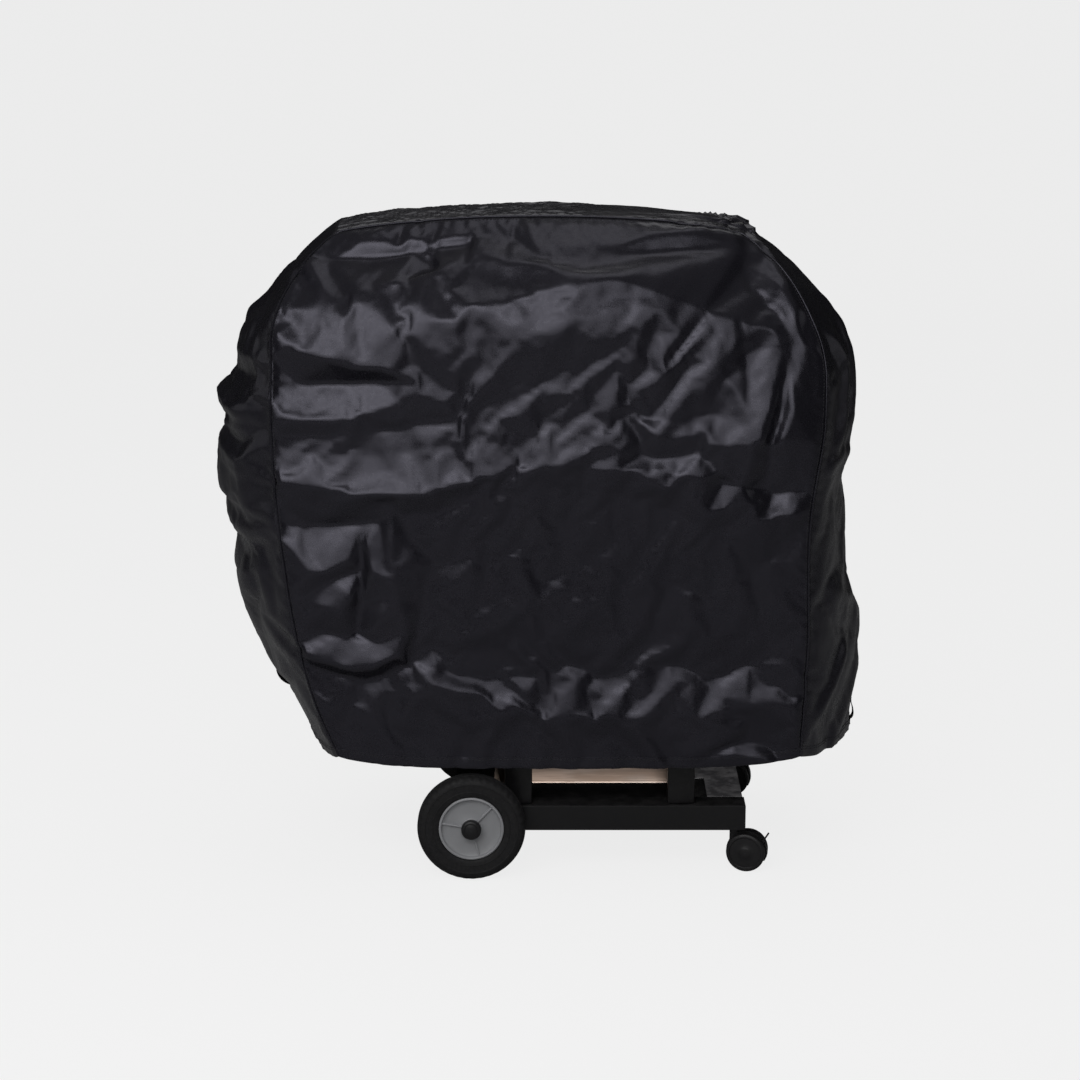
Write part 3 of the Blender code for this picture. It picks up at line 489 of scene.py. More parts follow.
# Folds of the gusset and the back: line, height, width above, width below, in metres.
FOLDS = [
    (left((-0.30, 0.975), (-0.16, 0.955), (0.02, 0.960), (0.24, 0.93)), -0.014, 0.050, 0.030),
    (left((-0.30, 0.905), (-0.20, 0.895), (-0.05, 0.905), (0.12, 0.895), (0.26, 0.91)), 0.017, 0.055, 0.018),
    (left((-0.30, 0.872), (-0.12, 0.868), (0.10, 0.855), (0.25, 0.86)), -0.009, 0.014, 0.016),
    (left((-0.30, 0.845), (-0.22, 0.80), (-0.10, 0.815), (0.10, 0.80)), 0.012, 0.035, 0.025),
    (left((-0.30, 0.785), (-0.10, 0.775), (0.08, 0.790), (0.27, 0.78)), 0.010, 0.070, 0.040),
    (left((-0.30, 0.690), (-0.10, 0.695), (0.08, 0.700), (0.27, 0.69)), -0.010, 0.020, 0.020),
    (left((-0.29, 0.672), (-0.20, 0.655), (-0.08, 0.66), (0.10, 0.67)), 0.008, 0.020, 0.040),
    (left((-0.22, 0.600), (-0.12, 0.52), (-0.05, 0.42), (-0.02, 0.33)), 0.010, 0.040, 0.050),
    (left((0.22, 0.600), (0.14, 0.50), (0.09, 0.38), (0.06, 0.27)), 0.009, 0.050, 0.040),
    (left((-0.26, 0.400), (-0.13, 0.370), (-0.02, 0.345), (0.10, 0.36)), 0.008, 0.030, 0.040),
    (left((-0.20, 1.060), (-0.06, 1.03), (0.10, 1.06)), 0.008, 0.040, 0.040),
    (left((-0.12, 1.16), (-0.03, 1.10), (0.02, 1.00)), 0.007, 0.030, 0.030),
    (right((-0.24, 1.06), (-0.20, 0.97), (-0.22, 0.88), (-0.25, 0.80)), 0.010, 0.026, 0.026),
    (right((-0.14, 1.12), (-0.10, 1.02), (-0.12, 0.90), (-0.16, 0.80)), 0.009, 0.032, 0.026),
    (right((0.10, 1.10), (0.13, 0.98), (0.09, 0.86), (0.12, 0.72)), 0.010, 0.045, 0.035),
    (right((-0.29, 0.790), (-0.20, 0.800), (-0.10, 0.790)), 0.007, 0.016, 0.022),
    (right((-0.27, 0.725), (-0.10, 0.740), (0.08, 0.725), (0.26, 0.74)), -0.011, 0.060, 0.050),
    (right((-0.26, 0.560), (-0.10, 0.500), (0.06, 0.42), (0.10, 0.34)), 0.011, 0.045, 0.055),
    (right((0.26, 0.62), (0.20, 0.52), (0.17, 0.40), (0.20, 0.28)), 0.010, 0.045, 0.040),
    (right((-0.28, 0.300), (-0.22, 0.36), (-0.15, 0.44)), 0.009, 0.022, 0.026),
    (right((-0.20, 0.225), (-0.12, 0.29), (-0.02, 0.38)), 0.008, 0.030, 0.036),
    (back((0.50, 1.03), (0.25, 1.075), (0.00, 1.10), (-0.25, 1.15), (-0.42, 1.16)), 0.022, 0.10, 0.10),
    (back((0.52, 0.90), (0.30, 0.850), (0.05, 0.865), (-0.20, 0.83), (-0.50, 0.86)), 0.014, 0.060, 0.090),
    (back((0.50, 0.80), (0.26, 0.755), (0.00, 0.770), (-0.28, 0.74), (-0.49, 0.77)), 0.016, 0.060, 0.080),
    (back((0.47, 0.72), (0.20, 0.690), (-0.10, 0.700), (-0.46, 0.68)), -0.010, 0.050, 0.050),
    (back((0.40, 0.98), (0.34, 0.90), (0.30, 0.80)), 0.009, 0.040, 0.030),
    (back((-0.36, 1.00), (-0.30, 0.92), (-0.31, 0.82)), 0.009, 0.035, 0.040),
    (back((-0.10, 1.06), (-0.04, 0.97), (-0.07, 0.89)), 0.007, 0.040, 0.035),
    (back((0.12, 0.66), (0.16, 0.55), (0.10, 0.43)), 0.008, 0.040, 0.045),
    (back((-0.28, 0.66), (-0.22, 0.54), (-0.26, 0.40)), 0.009, 0.045, 0.040),
    (back((0.44, 0.42), (0.20, 0.395), (-0.06, 0.42), (-0.38, 0.40)), -0.010, 0.070, 0.110),
    (back((0.36, 0.60), (0.40, 0.52), (0.46, 0.47)), 0.008, 0.030, 0.030),
    (back((-0.10, 0.23), (-0.16, 0.30), (-0.26, 0.36)), 0.008, 0.035, 0.040),
    (back((0.42, 0.24), (0.34, 0.30), (0.22, 0.34)), 0.008, 0.035, 0.040),
]


CRUMPLE_LAYERS = ((0.0026, 0.090, 4), (0.0023, 0.040, 9), (0.0009, 0.018, 11))  # depth, size, seed


def crumple(points, size, seed):
    """Random flat facets with sharp edges, between -1 and 1. Each cell of the grid is six tetrahedra."""
    table = np.random.default_rng(seed).uniform(-1, 1, (32, 32, 32))
    tilt = np.array(Matrix.Rotation(0.9, 3, Vector((1, 2, 3))))
    cell = points @ tilt.T / size
    corner = np.floor(cell).astype(int)
    t = cell - corner
    order = np.argsort(-t, axis=1)
    t = np.take_along_axis(t, order, axis=1)
    rows = np.arange(len(points))
    value = table[tuple(corner.T % 32)] * (1 - t[:, 0])
    for k in range(3):
        corner[rows, order[:, k]] += 1
        value += table[tuple(corner.T % 32)] * (t[:, k] - (t[:, k + 1] if k < 2 else 0))
    return value


def crumple_strength(points):
    """The sheet is most crumpled over the hood and shelves, and hangs calmly below them."""
    x, y, z = points.T
    strength = 0.30 + 0.70 * ease(z, 0.68, 0.74)
    front = y < -0.12
    strength = np.where(front & (x < -0.22) & (z > 0.43) & (z < 0.72), 0.60, strength)
    strength = np.where(front & (x < -0.15) & (z > 0.72) & (z < 0.90), 0.40, strength)
    crease_z = 1.14 - 0.25 * np.clip(x, 0, 0.5)
    strength = np.where(front, strength * (1 - 0.7 * ease(z, crease_z, crease_z + 0.03)), strength)
    return np.where(front, strength, 0.35 + 0.45 * strength)


def relief(sheet, normals):
    """How far each point of the smooth form is moved outwards."""
    points, inside = sheet.points, ease(sheet.from_seam, 0.0, 0.016)
    total = np.zeros(len(points))
    index = sheet.grids["front"]
    flat = facets(points[index.ravel()][:, [0, 2]]).reshape(index.shape)
    total[index] = blurred(flat, 1) * inside[index]
    others = np.flatnonzero(np.isin(np.arange(len(points)), index, invert=True))
    folded = np.zeros(len(others))
    for line, height, above, below in FOLDS:
        folded += fold(points[others], normals[others], line, height, above, below)
    total[others] = folded * inside[others]
    facet = sum(depth * crumple(points, size, seed) for depth, size, seed in CRUMPLE_LAYERS)
    return total + facet * crumple_strength(points) * inside


# ---- the cloth ----------------------------------------------------------------------------------

GROWTH = 0.014  # how much bigger than its form the cloth is cut
SETTLE_FRAMES = 22
POINT_MASS = 0.00005  # kg, about 1.4 kg for the whole sheet
HOLD_STIFFNESS = 12  # of the springs that keep the cloth near the folds laid into it
MOST_MOVED = 0.010  # the movement levels off towards this
CLEARANCE = 0.004  # between the cloth and what it rests on


def barbecue_under_cover():
    """One hidden object made of the barbecue's own solids, for the cloth to rest on."""
    points, faces, count = [], [], 0
    for name in ("hood", "firebox", "hood_handle", "left_side_shelf", "right_side_shelf"):
        mesh = NODES[name].data
        points.append(read_vectors(mesh.vertices, "co"))
        faces += [[i + count for i in polygon.vertices] for polygon in mesh.polygons]
        count += len(mesh.vertices)
    obj = mesh_object("under_cover", np.concatenate(points), faces)
    obj.modifiers.new("collision", "COLLISION")
    obj.collision.thickness_outer = CLEARANCE
    obj.collision.cloth_friction = 15
    return obj


def settled(sheet, shaped):
    """The points of the slightly oversize cloth once it has sagged and buckled over the barbecue."""
    obj = mesh_object("cloth", shaped, sheet.all_faces())
    hold = 0.12 + 0.20 * ease(sheet.up, 0.93, 1.0) + 0.05 * (1 - ease(sheet.up, 0.0, 0.05))
    for rim in sheet.seams.values():
        hold[rim] = np.maximum(hold[rim], 0.30)
    group = obj.vertex_groups.new(name="hold")
    for level in np.unique(hold.round(2)):
        group.add([int(i) for i in np.flatnonzero(hold.round(2) == level)], float(level), "REPLACE")
    cloth = obj.modifiers.new("drape", "CLOTH")
    settings = cloth.settings
    settings.quality = 5
    settings.mass = POINT_MASS
    settings.tension_stiffness = settings.compression_stiffness = 40
    settings.shear_stiffness = 20
    settings.bending_stiffness = 3
    settings.tension_damping = settings.compression_damping = settings.shear_damping = 10
    settings.bending_damping = 2
    settings.air_damping = 3
    settings.shrink_min = -GROWTH
    settings.vertex_group_mass = "hold"
    settings.pin_stiffness = HOLD_STIFFNESS
    cloth.collision_settings.distance_min = CLEARANCE
    cloth.collision_settings.use_self_collision = False
    cloth.point_cache.frame_start = 1
    cloth.point_cache.frame_end = SETTLE_FRAMES
    under = barbecue_under_cover()
    for number in range(1, SETTLE_FRAMES + 1):
        SCENE.frame_set(number)
    result = read_vectors(evaluated(obj).vertices, "co")
    SCENE.frame_set(1)
    for used in (under, obj):
        bpy.data.objects.remove(used)
    return result


def shaped_by_folds(sheet):
    obj = mesh_object("form", sheet.points, sheet.all_faces())
    normals = read_vectors(obj.data.vertex_normals, "vector")
    bpy.data.objects.remove(obj)
    return sheet.points + normals * relief(sheet, normals)[:, None], normals


def twice_as_fine(grid):
    """A grid of vectors with one more between each two, both ways."""
    for axis in (0, 1):
        grid = np.moveaxis(grid, axis, 0)
        made = np.empty((2 * len(grid) - 1, *grid.shape[1:]))
        made[::2] = grid
        made[1::2] = (grid[:-1] + grid[1:]) / 2
        grid = np.moveaxis(made, 0, axis)
    return grid


def cover_form():
    """The finished sheet, its points and its outward normals."""
    fine = Sheet(2)
    points, normals = shaped_by_folds(fine)
    coarse = Sheet(1)
    shaped, _ = shaped_by_folds(coarse)
    moved = settled(coarse, shaped) - shaped
    far = np.maximum(np.linalg.norm(moved, axis=1, keepdims=True), 1e-9)
    moved *= np.tanh(far / MOST_MOVED) * MOST_MOVED / far
    change = np.zeros_like(points)
    for name, index in fine.grids.items():
        change[index] = twice_as_fine(moved[coarse.grids[name]])
    points = points + change
    points = points - normals * (0.0020 * np.exp(-((fine.from_seam / 0.008) ** 2)))[:, None]
    pucker = np.sin(points[:, 2] * 260 + points[:, 0] * 240 + 2 * crumple(points, 0.12, 21))
    pucker *= 0.0007 * ease(fine.from_seam, 0.002, 0.008) * (1 - ease(fine.from_seam, 0.010, 0.034))
    points = points + normals * pucker[:, None]
    obj = mesh_object("form", points, fine.all_faces())
    normals = read_vectors(obj.data.vertex_normals, "vector")
    bpy.data.objects.remove(obj)
    return fine, points, normals


# ---- finishes -----------------------------------------------------------------------------------


class Finish:
    """A material wired up node by node. Positions are the object's own, in metres."""

    def __init__(self, name):
        self.material = bpy.data.materials.new(name)
        self.material.use_nodes = True
        self.tree = self.material.node_tree
        self.tree.nodes.clear()
        out = self.tree.nodes.new("ShaderNodeOutputMaterial")
        self.shader = self.tree.nodes.new("ShaderNodeBsdfPrincipled")
        self.tree.links.new(self.shader.outputs["BSDF"], out.inputs["Surface"])
        self.place = self.tree.nodes.new("ShaderNodeTexCoord").outputs["Object"]
        self.geometry = self.tree.nodes.new("ShaderNodeNewGeometry")
        self.height = None

    def put(self, socket, value):
        if isinstance(value, bpy.types.NodeSocket):
            self.tree.links.new(value, socket)
        elif isinstance(value, tuple) and len(value) == 3 and socket.type == "RGBA":
            socket.default_value = (*value, 1)
        else:
            socket.default_value = value

    def set(self, **values):
        for name, value in values.items():
            self.put(self.shader.inputs[name.replace("_", " ").title().replace("Ior", "IOR")], value)

    def stretched(self, scale):
        node = self.tree.nodes.new("ShaderNodeVectorMath")
        node.operation = "MULTIPLY"
        self.put(node.inputs[0], self.place)
        node.inputs[1].default_value = scale
        return node.outputs["Vector"]

    def texture(self, kind, stretch, **values):
        node = self.tree.nodes.new("ShaderNodeTex" + kind)
        self.put(node.inputs["Vector"], self.stretched(stretch) if stretch else self.place)
        for name, value in values.items():
            node.inputs[name.replace("_", " ").title()].default_value = value
        return node

    def noise(self, scale, detail=4, roughness=0.55, stretch=None):
        return self.texture("Noise", stretch, scale=scale, detail=detail, roughness=roughness).outputs["Fac"]

    def cells(self, scale, feature="DISTANCE_TO_EDGE"):
        node = self.texture("Voronoi", None, scale=scale)
        node.feature = feature
        return node.outputs["Distance"]

    def bands(self, scale, direction, stretch=None, **values):
        node = self.texture("Wave", stretch, scale=scale, **values)
        node.bands_direction = direction
        return node.outputs["Fac"]

    def varied(self, value, low, high):
        """low to high over the middle of a noise's range."""
        return self.spread(value, 0.3, 0.7, low, high)

    def spread(self, value, low, high, to_low=0.0, to_high=1.0):
        node = self.tree.nodes.new("ShaderNodeMapRange")
        for socket, given in zip(node.inputs, (value, low, high, to_low, to_high)):
            self.put(socket, given)
        return node.outputs["Result"]

    def sum(self, operation, a, b):
        node = self.tree.nodes.new("ShaderNodeMath")
        node.operation = operation
        self.put(node.inputs[0], a)
        self.put(node.inputs[1], b)
        return node.outputs["Value"]

    def mix(self, share, a, b):
        node = self.tree.nodes.new("ShaderNodeMix")
        node.data_type = "RGBA"
        self.put(node.inputs["Factor"], share)
        self.put(node.inputs[6], a)
        self.put(node.inputs[7], b)
        return node.outputs[2]

    def edges(self, low=0.52, high=0.60):
        return self.spread(self.geometry.outputs["Pointiness"], low, high)

    def facing_up(self, low=0.5, high=1.0):
        node = self.tree.nodes.new("ShaderNodeSeparateXYZ")
        self.put(node.inputs[0], self.geometry.outputs["Normal"])
        return self.spread(node.outputs["Z"], low, high)

    def bump(self, height, distance, strength=1.0):
        """Adds a layer of relief, distance metres deep."""
        node = self.tree.nodes.new("ShaderNodeBump")
        node.inputs["Strength"].default_value = strength
        node.inputs["Distance"].default_value = distance
        self.put(node.inputs["Height"], height)
        if self.height:
            self.put(node.inputs["Normal"], self.height)
        self.height = node.outputs["Normal"]
        self.put(self.shader.inputs["Normal"], self.height)


def vinyl(name="cover_vinyl", lighter=1.0):
    """Soft black vinyl with a fine leather grain, a satin coat, a little dust where it faces up, and lighter
    sharp ridges: partly stress whitening, partly a painted highlight along the creases.
    """
    f = Finish(name)
    dark, light = (0.0085, 0.0080, 0.0112), (0.0150, 0.0142, 0.0185)
    base = f.mix(f.noise(6, 5), tuple(c * lighter for c in dark), tuple(c * lighter for c in light))
    # Sharp ridges are made lighter: partly stress whitening of creased vinyl, partly a painted highlight
    # along the creases.
    edge_wear_and_highlight = f.mix(f.sum("MULTIPLY", f.edges(0.53, 0.64), 0.5), base, (0.034, 0.033, 0.038))
    dust_and_painted_light = f.sum("MULTIPLY", f.facing_up(0.55, 1.0), f.spread(f.noise(22, 6, 0.65), 0.45, 0.72, 0, 0.20))
    f.set(base_color=f.mix(dust_and_painted_light, edge_wear_and_highlight, (0.060, 0.058, 0.056)))
    sheen = f.sum("ADD", f.varied(f.noise(9, 4), 0.23, 0.32),
                  f.varied(f.noise(130, 5, 0.6), -0.03, 0.06))
    f.set(roughness=sheen, specular_ior_level=0.55, specular_tint=(0.86, 0.84, 1.0))
    f.bump(f.noise(34, 3), 0.0010, 0.35)
    f.bump(f.cells(620), 0.00012, 0.5)
    f.bump(f.noise(1500, 2), 0.00005, 0.5)
    return f.material


def thread():
    f = Finish("thread")
    f.set(base_color=f.mix(f.noise(60), (0.022, 0.022, 0.026), (0.040, 0.039, 0.044)), roughness=0.75)
    f.bump(f.bands(900, "DIAGONAL"), 0.0002, 0.8)
    return f.material


def webbing():
    """Woven nylon tape."""
    f = Finish("webbing")
    weave = f.sum("MULTIPLY", f.bands(240, "Z"), f.bands(240, "Y"))
    f.set(base_color=f.mix(weave, (0.012, 0.012, 0.014), (0.030, 0.030, 0.034)), roughness=0.7)
    f.bump(weave, 0.0005, 0.9)
    f.bump(f.noise(1200, 3), 0.0001, 0.5)
    return f.material


def painted_steel():
    """Black powder coat with orange peel, thin wear along its edges, and a paler layer on faces that look up:
    partly dust, partly painted light on the tops.
    """
    f = Finish("painted_steel")
    base = f.mix(f.noise(14, 5), (0.0056, 0.0054, 0.0062), (0.0098, 0.0094, 0.0106))
    edge_wear_and_highlight = f.sum("MULTIPLY", f.edges(0.54, 0.66), f.spread(f.noise(150, 5, 0.7), 0.45, 0.62))
    # Paler where faces look up: partly dust, partly painted light that brightens the tops as if lit.
    dust_and_painted_light = f.sum("MULTIPLY", f.facing_up(0.7, 1.0), f.spread(f.noise(40, 5, 0.65), 0.40, 0.75, 0.05, 0.40))
    f.set(base_color=f.mix(edge_wear_and_highlight, f.mix(dust_and_painted_light, base, (0.13, 0.126, 0.128)), (0.050, 0.048, 0.047)))
    f.set(roughness=f.varied(f.noise(90, 6, 0.6), 0.30, 0.46))
    f.bump(f.noise(420, 2), 0.00012, 0.5)
    f.bump(f.noise(22, 3), 0.0006, 0.25)
    return f.material


def moulded_plastic(name, dark, light, low, high, scuffs=0.12):
    """Moulded plastic with a fine spark-eroded grain, scuffs and paler edges."""
    f = Finish(name)
    base = f.mix(f.noise(30, 5), dark, light)
    rubbed = tuple(min(1, c * 2.2 + 0.02) for c in light)
    base = f.mix(f.sum("MULTIPLY", f.edges(0.53, 0.66), 0.45), base, rubbed)
    scratch = f.spread(f.noise(70, 8, 0.8, stretch=(1, 1, 7)), 0.60, 0.66, 0, scuffs)
    f.set(base_color=f.mix(scratch, base, rubbed))
    f.set(roughness=f.varied(f.noise(160, 5, 0.65), low, high))
    f.bump(f.noise(1400, 3, 0.6), 0.00010, 0.5)
    f.bump(f.noise(60, 2), 0.0004, 0.15)
    return f.material


def rubber():
    """Dark tyre rubber, dusty on the tread and in its grooves."""
    f = Finish("wheel_rubber")
    base = f.mix(f.noise(45, 6, 0.6), (0.0085, 0.0082, 0.0092), (0.0160, 0.0155, 0.0168))
    dust_and_painted_light = f.spread(f.noise(170, 7, 0.7), 0.48, 0.74, 0.0, 0.22)
    f.set(base_color=f.mix(dust_and_painted_light, base, (0.055, 0.053, 0.052)))
    f.set(roughness=f.varied(f.noise(200, 5), 0.55, 0.80), specular_ior_level=0.4)
    f.bump(f.noise(900, 4, 0.7), 0.00018, 0.6)
    return f.material


def bare_steel():
    """Bright steel, finely brushed, with stains."""
    f = Finish("bare_steel")
    stain = f.spread(f.noise(55, 6, 0.65), 0.45, 0.70, 0, 0.6)
    f.set(base_color=f.mix(stain, (0.52, 0.52, 0.53), (0.26, 0.23, 0.21)), metallic=1.0)
    f.set(roughness=f.varied(f.noise(260, 5, 0.7, stretch=(0.05, 1, 1)), 0.24, 0.50))
    f.bump(f.noise(700, 3, 0.6, stretch=(0.04, 1, 1)), 0.00008, 0.6)
    return f.material


def cast_aluminium():
    """Sand-cast and enamelled: pebbled, with a low sheen and smoke-dulled patches."""
    f = Finish("cast_aluminium")
    soot = f.spread(f.noise(11, 6, 0.6), 0.42, 0.65)
    base = f.mix(soot, (0.022, 0.022, 0.024), (0.040, 0.038, 0.036))
    f.set(base_color=f.mix(f.edges(0.53, 0.62), base, (0.085, 0.083, 0.08)))
    f.set(roughness=f.varied(f.noise(18, 5), 0.36, 0.62))
    f.bump(f.cells(330, "F1"), 0.0005, 0.5)
    f.bump(f.noise(60, 4), 0.0008, 0.3)
    return f.material


def wood(name, dark, light, grey):
    """Oiled and weathered slats: grain along X, darker pores, a few greyed patches."""
    f = Finish(name)
    rings = f.bands(16, "Z", stretch=(0.35, 1, 4), distortion=7, detail=4, detail_scale=1.4)
    fibre = f.noise(60, 8, 0.7, stretch=(0.05, 1, 1))
    base = f.mix(f.spread(rings, 0.15, 0.85, 0.15, 0.75), light, dark)
    base = f.mix(f.spread(fibre, 0.35, 0.70, 0.0, 0.65), base, dark)
    base = f.mix(f.spread(f.noise(9, 5), 0.45, 0.70, 0, 0.55), base, grey)
    base = f.mix(f.spread(f.noise(240, 2, 0.5, stretch=(0.03, 1, 1)), 0.62, 0.70, 0, 0.7), base,
                 tuple(c * 0.4 for c in dark))
    f.set(base_color=base, roughness=f.varied(fibre, 0.50, 0.74))
    f.bump(fibre, 0.0007, 0.5)
    f.bump(rings, 0.0005, 0.3)
    return f.material


VINYL = vinyl()
FINISHES = {
    "cover_vinyl": VINYL,
    "cover_piping": vinyl("cover_piping", 0.8),
    "painted_steel": painted_steel(),
    "black_plastic": moulded_plastic("black_plastic", (0.0090, 0.0088, 0.0100),
                                     (0.0150, 0.0146, 0.0160), 0.34, 0.50),
    "caster_plastic": moulded_plastic("caster_plastic", (0.0115, 0.0108, 0.0120),
                                      (0.0185, 0.0175, 0.019), 0.38, 0.56),
    "rim_plastic": moulded_plastic("rim_plastic", (0.320, 0.324, 0.338), (0.400, 0.404, 0.420),
                                   0.36, 0.52, 0.06),
    "wheel_rubber": rubber(),
    "bare_steel": bare_steel(),
    "cast_aluminium": cast_aluminium(),
    "shelf_wood": wood("shelf_wood", (0.145, 0.103, 0.078), (0.295, 0.222, 0.178), (0.235, 0.205, 0.185)),
    "side_shelf_wood": wood("side_shelf_wood", (0.115, 0.072, 0.044), (0.250, 0.170, 0.112),
                            (0.19, 0.16, 0.14)),
}
THREAD, WEBBING = thread(), webbing()


def add(obj, body, slot, *nodes):
    """Hands a finished piece to its body, in place of the CAD nodes it stands for."""
    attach(obj, body)
    if nodes:
        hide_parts(*nodes)
    return obj


# ---- the cover's pieces -------------------------------------------------------------------------


def cover_panels(sheet, points):
    for name in ("front", "gusset", "back"):
        used = sheet.grids[name].ravel()
        number = np.full(len(points), -1)
        number[used] = np.arange(len(used))
        label = "cover_gusset_sheet" if name == "gusset" else f"cover_{name}_sheet"
        obj = mesh_object(label, points[used], number[sheet.faces[name]], VINYL)
        thick = obj.modifiers.new("thickness", "SOLIDIFY")
        thick.thickness = SHEET_THICKNESS
        thick.offset = -1
        thick.use_even_offset = False
        node = "cover_gusset" if name == "gusset" else f"cover_{name}_panel"
        add(obj, "cover", "cover_vinyl", node)


def tube(name, path, radius, finish, sides=8):
    """A round cord along a path, closed by a flat face at each end."""
    path = np.asarray(path)
    ahead = np.roll(path, -1, axis=0) - np.roll(path, 1, axis=0)
    ahead[0], ahead[-1] = path[1] - path[0], path[-1] - path[-2]
    ahead /= np.linalg.norm(ahead, axis=1, keepdims=True)
    side = np.array(Vector(ahead[0]).orthogonal().normalized())
    sides_u = []
    for direction in ahead:
        side = side - direction * (side @ direction)
        side /= np.linalg.norm(side)
        sides_u.append(side)
    u = np.array(sides_u)
    v = np.cross(ahead, u)
    angle = np.arange(sides) * 2 * math.pi / sides
    ring = np.cos(angle)[None, :, None] * u[:, None] + np.sin(angle)[None, :, None] * v[:, None]
    points = path[:, None] + radius * ring
    index = np.arange(len(path) * sides).reshape(len(path), sides)
    faces = square_faces(wrapped(index)) + [list(index[0][::-1]), list(index[-1])]
    return solid(name, points.reshape(-1, 3), faces, finish)


def resampled(path, normals, pitch):
    """Points, directions and normals at an even pitch along a path."""
    steps = np.linalg.norm(np.diff(path, axis=0), axis=1)
    run = np.concatenate([[0], np.cumsum(steps)])
    at = np.arange(pitch / 2, run[-1], pitch)
    place = np.stack([np.interp(at, run, path[:, k]) for k in range(3)], axis=1)
    normal = np.stack([np.interp(at, run, normals[:, k]) for k in range(3)], axis=1)
    ahead = np.gradient(place, axis=0)
    return place, ahead / np.linalg.norm(ahead, axis=1, keepdims=True), normal


def stitches(name, paths, pitch=0.0068, length=0.0048, radius=0.00055):
    """Rows of short thread loops that dip into the sheet at each end."""
    points, faces, count = [], [], 0
    profile = [(-0.5, -0.6, 0.55), (-0.3, 0.55, 1.0), (0.3, 0.55, 1.0), (0.5, -0.6, 0.55)]
    angle = np.arange(6) * math.pi / 3
    for path, normals in paths:
        place, ahead, normal = resampled(path, normals, pitch)
        normal = normal - ahead * np.einsum("ij,ij->i", normal, ahead)[:, None]
        normal /= np.linalg.norm(normal, axis=1, keepdims=True)
        across = np.cross(ahead, normal)
        rings = []
        for along, lift, size in profile:
            middle = place + ahead * along * length + normal * lift * radius
            for a in angle:
                rings.append(middle + (normal * math.cos(a) + across * math.sin(a)) * radius * size)
        block = np.stack(rings, axis=1).reshape(len(place), len(profile), 6, 3)
        points.append(block.reshape(-1, 3))
        index = np.arange(block.shape[0] * 24).reshape(-1, 4, 6) + count
        ring = np.concatenate([index, index[..., :1]], axis=2)
        for k in range(3):
            faces += np.stack([ring[:, k, :-1], ring[:, k, 1:], ring[:, k + 1, 1:], ring[:, k + 1, :-1]],
                              axis=-1).reshape(-1, 4).tolist()
        faces += index[:, 0, ::-1].tolist() + index[:, 3].tolist()
        count += block.shape[0] * 24
    return mesh_object(name, np.concatenate(points), faces, THREAD)


def hem_columns(sheet, rows):
    """The hem as one closed loop of columns, each rows points tall from the bottom edge upwards."""
    front, back, gusset = (sheet.grids[name] for name in ("front", "back", "gusset"))
    left, right = gusset[:rows], gusset[::-1][:rows]
    loop = [front[:rows, :-1], right[:, :-1], back[:rows, ::-1][:, :-1], left[:, ::-1][:, :-1]]
    return np.concatenate(loop, axis=1).T


def hem(sheet, points, normals):
    columns = hem_columns(sheet, 5)
    place, out = points[columns], normals[columns]
    out = out * (1, 1, 0.2)
    out /= np.linalg.norm(out, axis=2, keepdims=True)
    outside = [place[:, row] + out[:, row] * lift for row, lift in ((4, -0.0002), (4, 0.0008), (3, 0.0012),
                                                                  (2, 0.0012), (1, 0.0012), (0, 0.0013))]
    bottom = [place[:, 0] + out[:, 0] * -0.0006 - (0, 0, 0.0018)]
    inside = [place[:, row] - out[:, row] * 0.0026 for row in (0, 1, 2, 3, 4)]
    ring = np.stack(outside + bottom + inside + [place[:, 4] - out[:, 4] * 0.0014], axis=1)
    index = np.arange(ring.shape[0] * ring.shape[1]).reshape(ring.shape[:2])
    index = wrapped(index)
    faces = square_faces(np.concatenate([index, index[:1]], axis=0))
    band = solid("cover_hem_band", ring.reshape(-1, 3), faces, VINYL, 60)
    add(band, "cover", "cover_vinyl", "cover_hem")
    line = place[:, 3] * 0.85 + place[:, 4] * 0.15 + out[:, 3] * 0.0011
    line = np.concatenate([line, line[:1]])
    add(stitches("cover_hem_stitching", [(line, np.concatenate([out[:, 3], out[:1, 3]]))]),
        "cover", "cover_vinyl")


def seams(sheet, points, normals):
    for side in ("front", "back"):
        rim = sheet.seams[side]
        path, out = points[rim], normals[rim]
        for _ in range(3):
            path[1:-1] = (path[:-2] + 2 * path[1:-1] + path[2:]) / 4
        cord = tube(f"cover_{side}_seam_cord", path + out * 0.0004, 0.0017, FINISHES["cover_piping"])
        add(cord, "cover", "cover_piping", f"cover_{side}_piping")
        panel, gusset = sheet.grids[side], sheet.grids["gusset"]
        near = np.concatenate([panel[:-1, 1], panel[-2, 2:-2], panel[:-1, -2][::-1]])
        beside = gusset[:, 1] if side == "front" else gusset[:, -2]
        rows = [(points[near] + normals[near] * 0.0001, normals[near])]
        across = 0.8 * points[beside] + 0.2 * points[rim]
        rows.append((across + normals[beside] * 0.0001, normals[beside]))
        add(stitches(f"cover_{side}_seam_stitching", rows), "cover", "cover_vinyl")


def cloth_at(points, x_sign, y, z):
    """The point of the cover's side nearest a height and depth."""
    near = np.where(points[:, 0] * x_sign > 0.2)[0]
    gap = (points[near, 1] - y) ** 2 + (points[near, 2] - z) ** 2
    return points[near[np.argmin(gap)]]


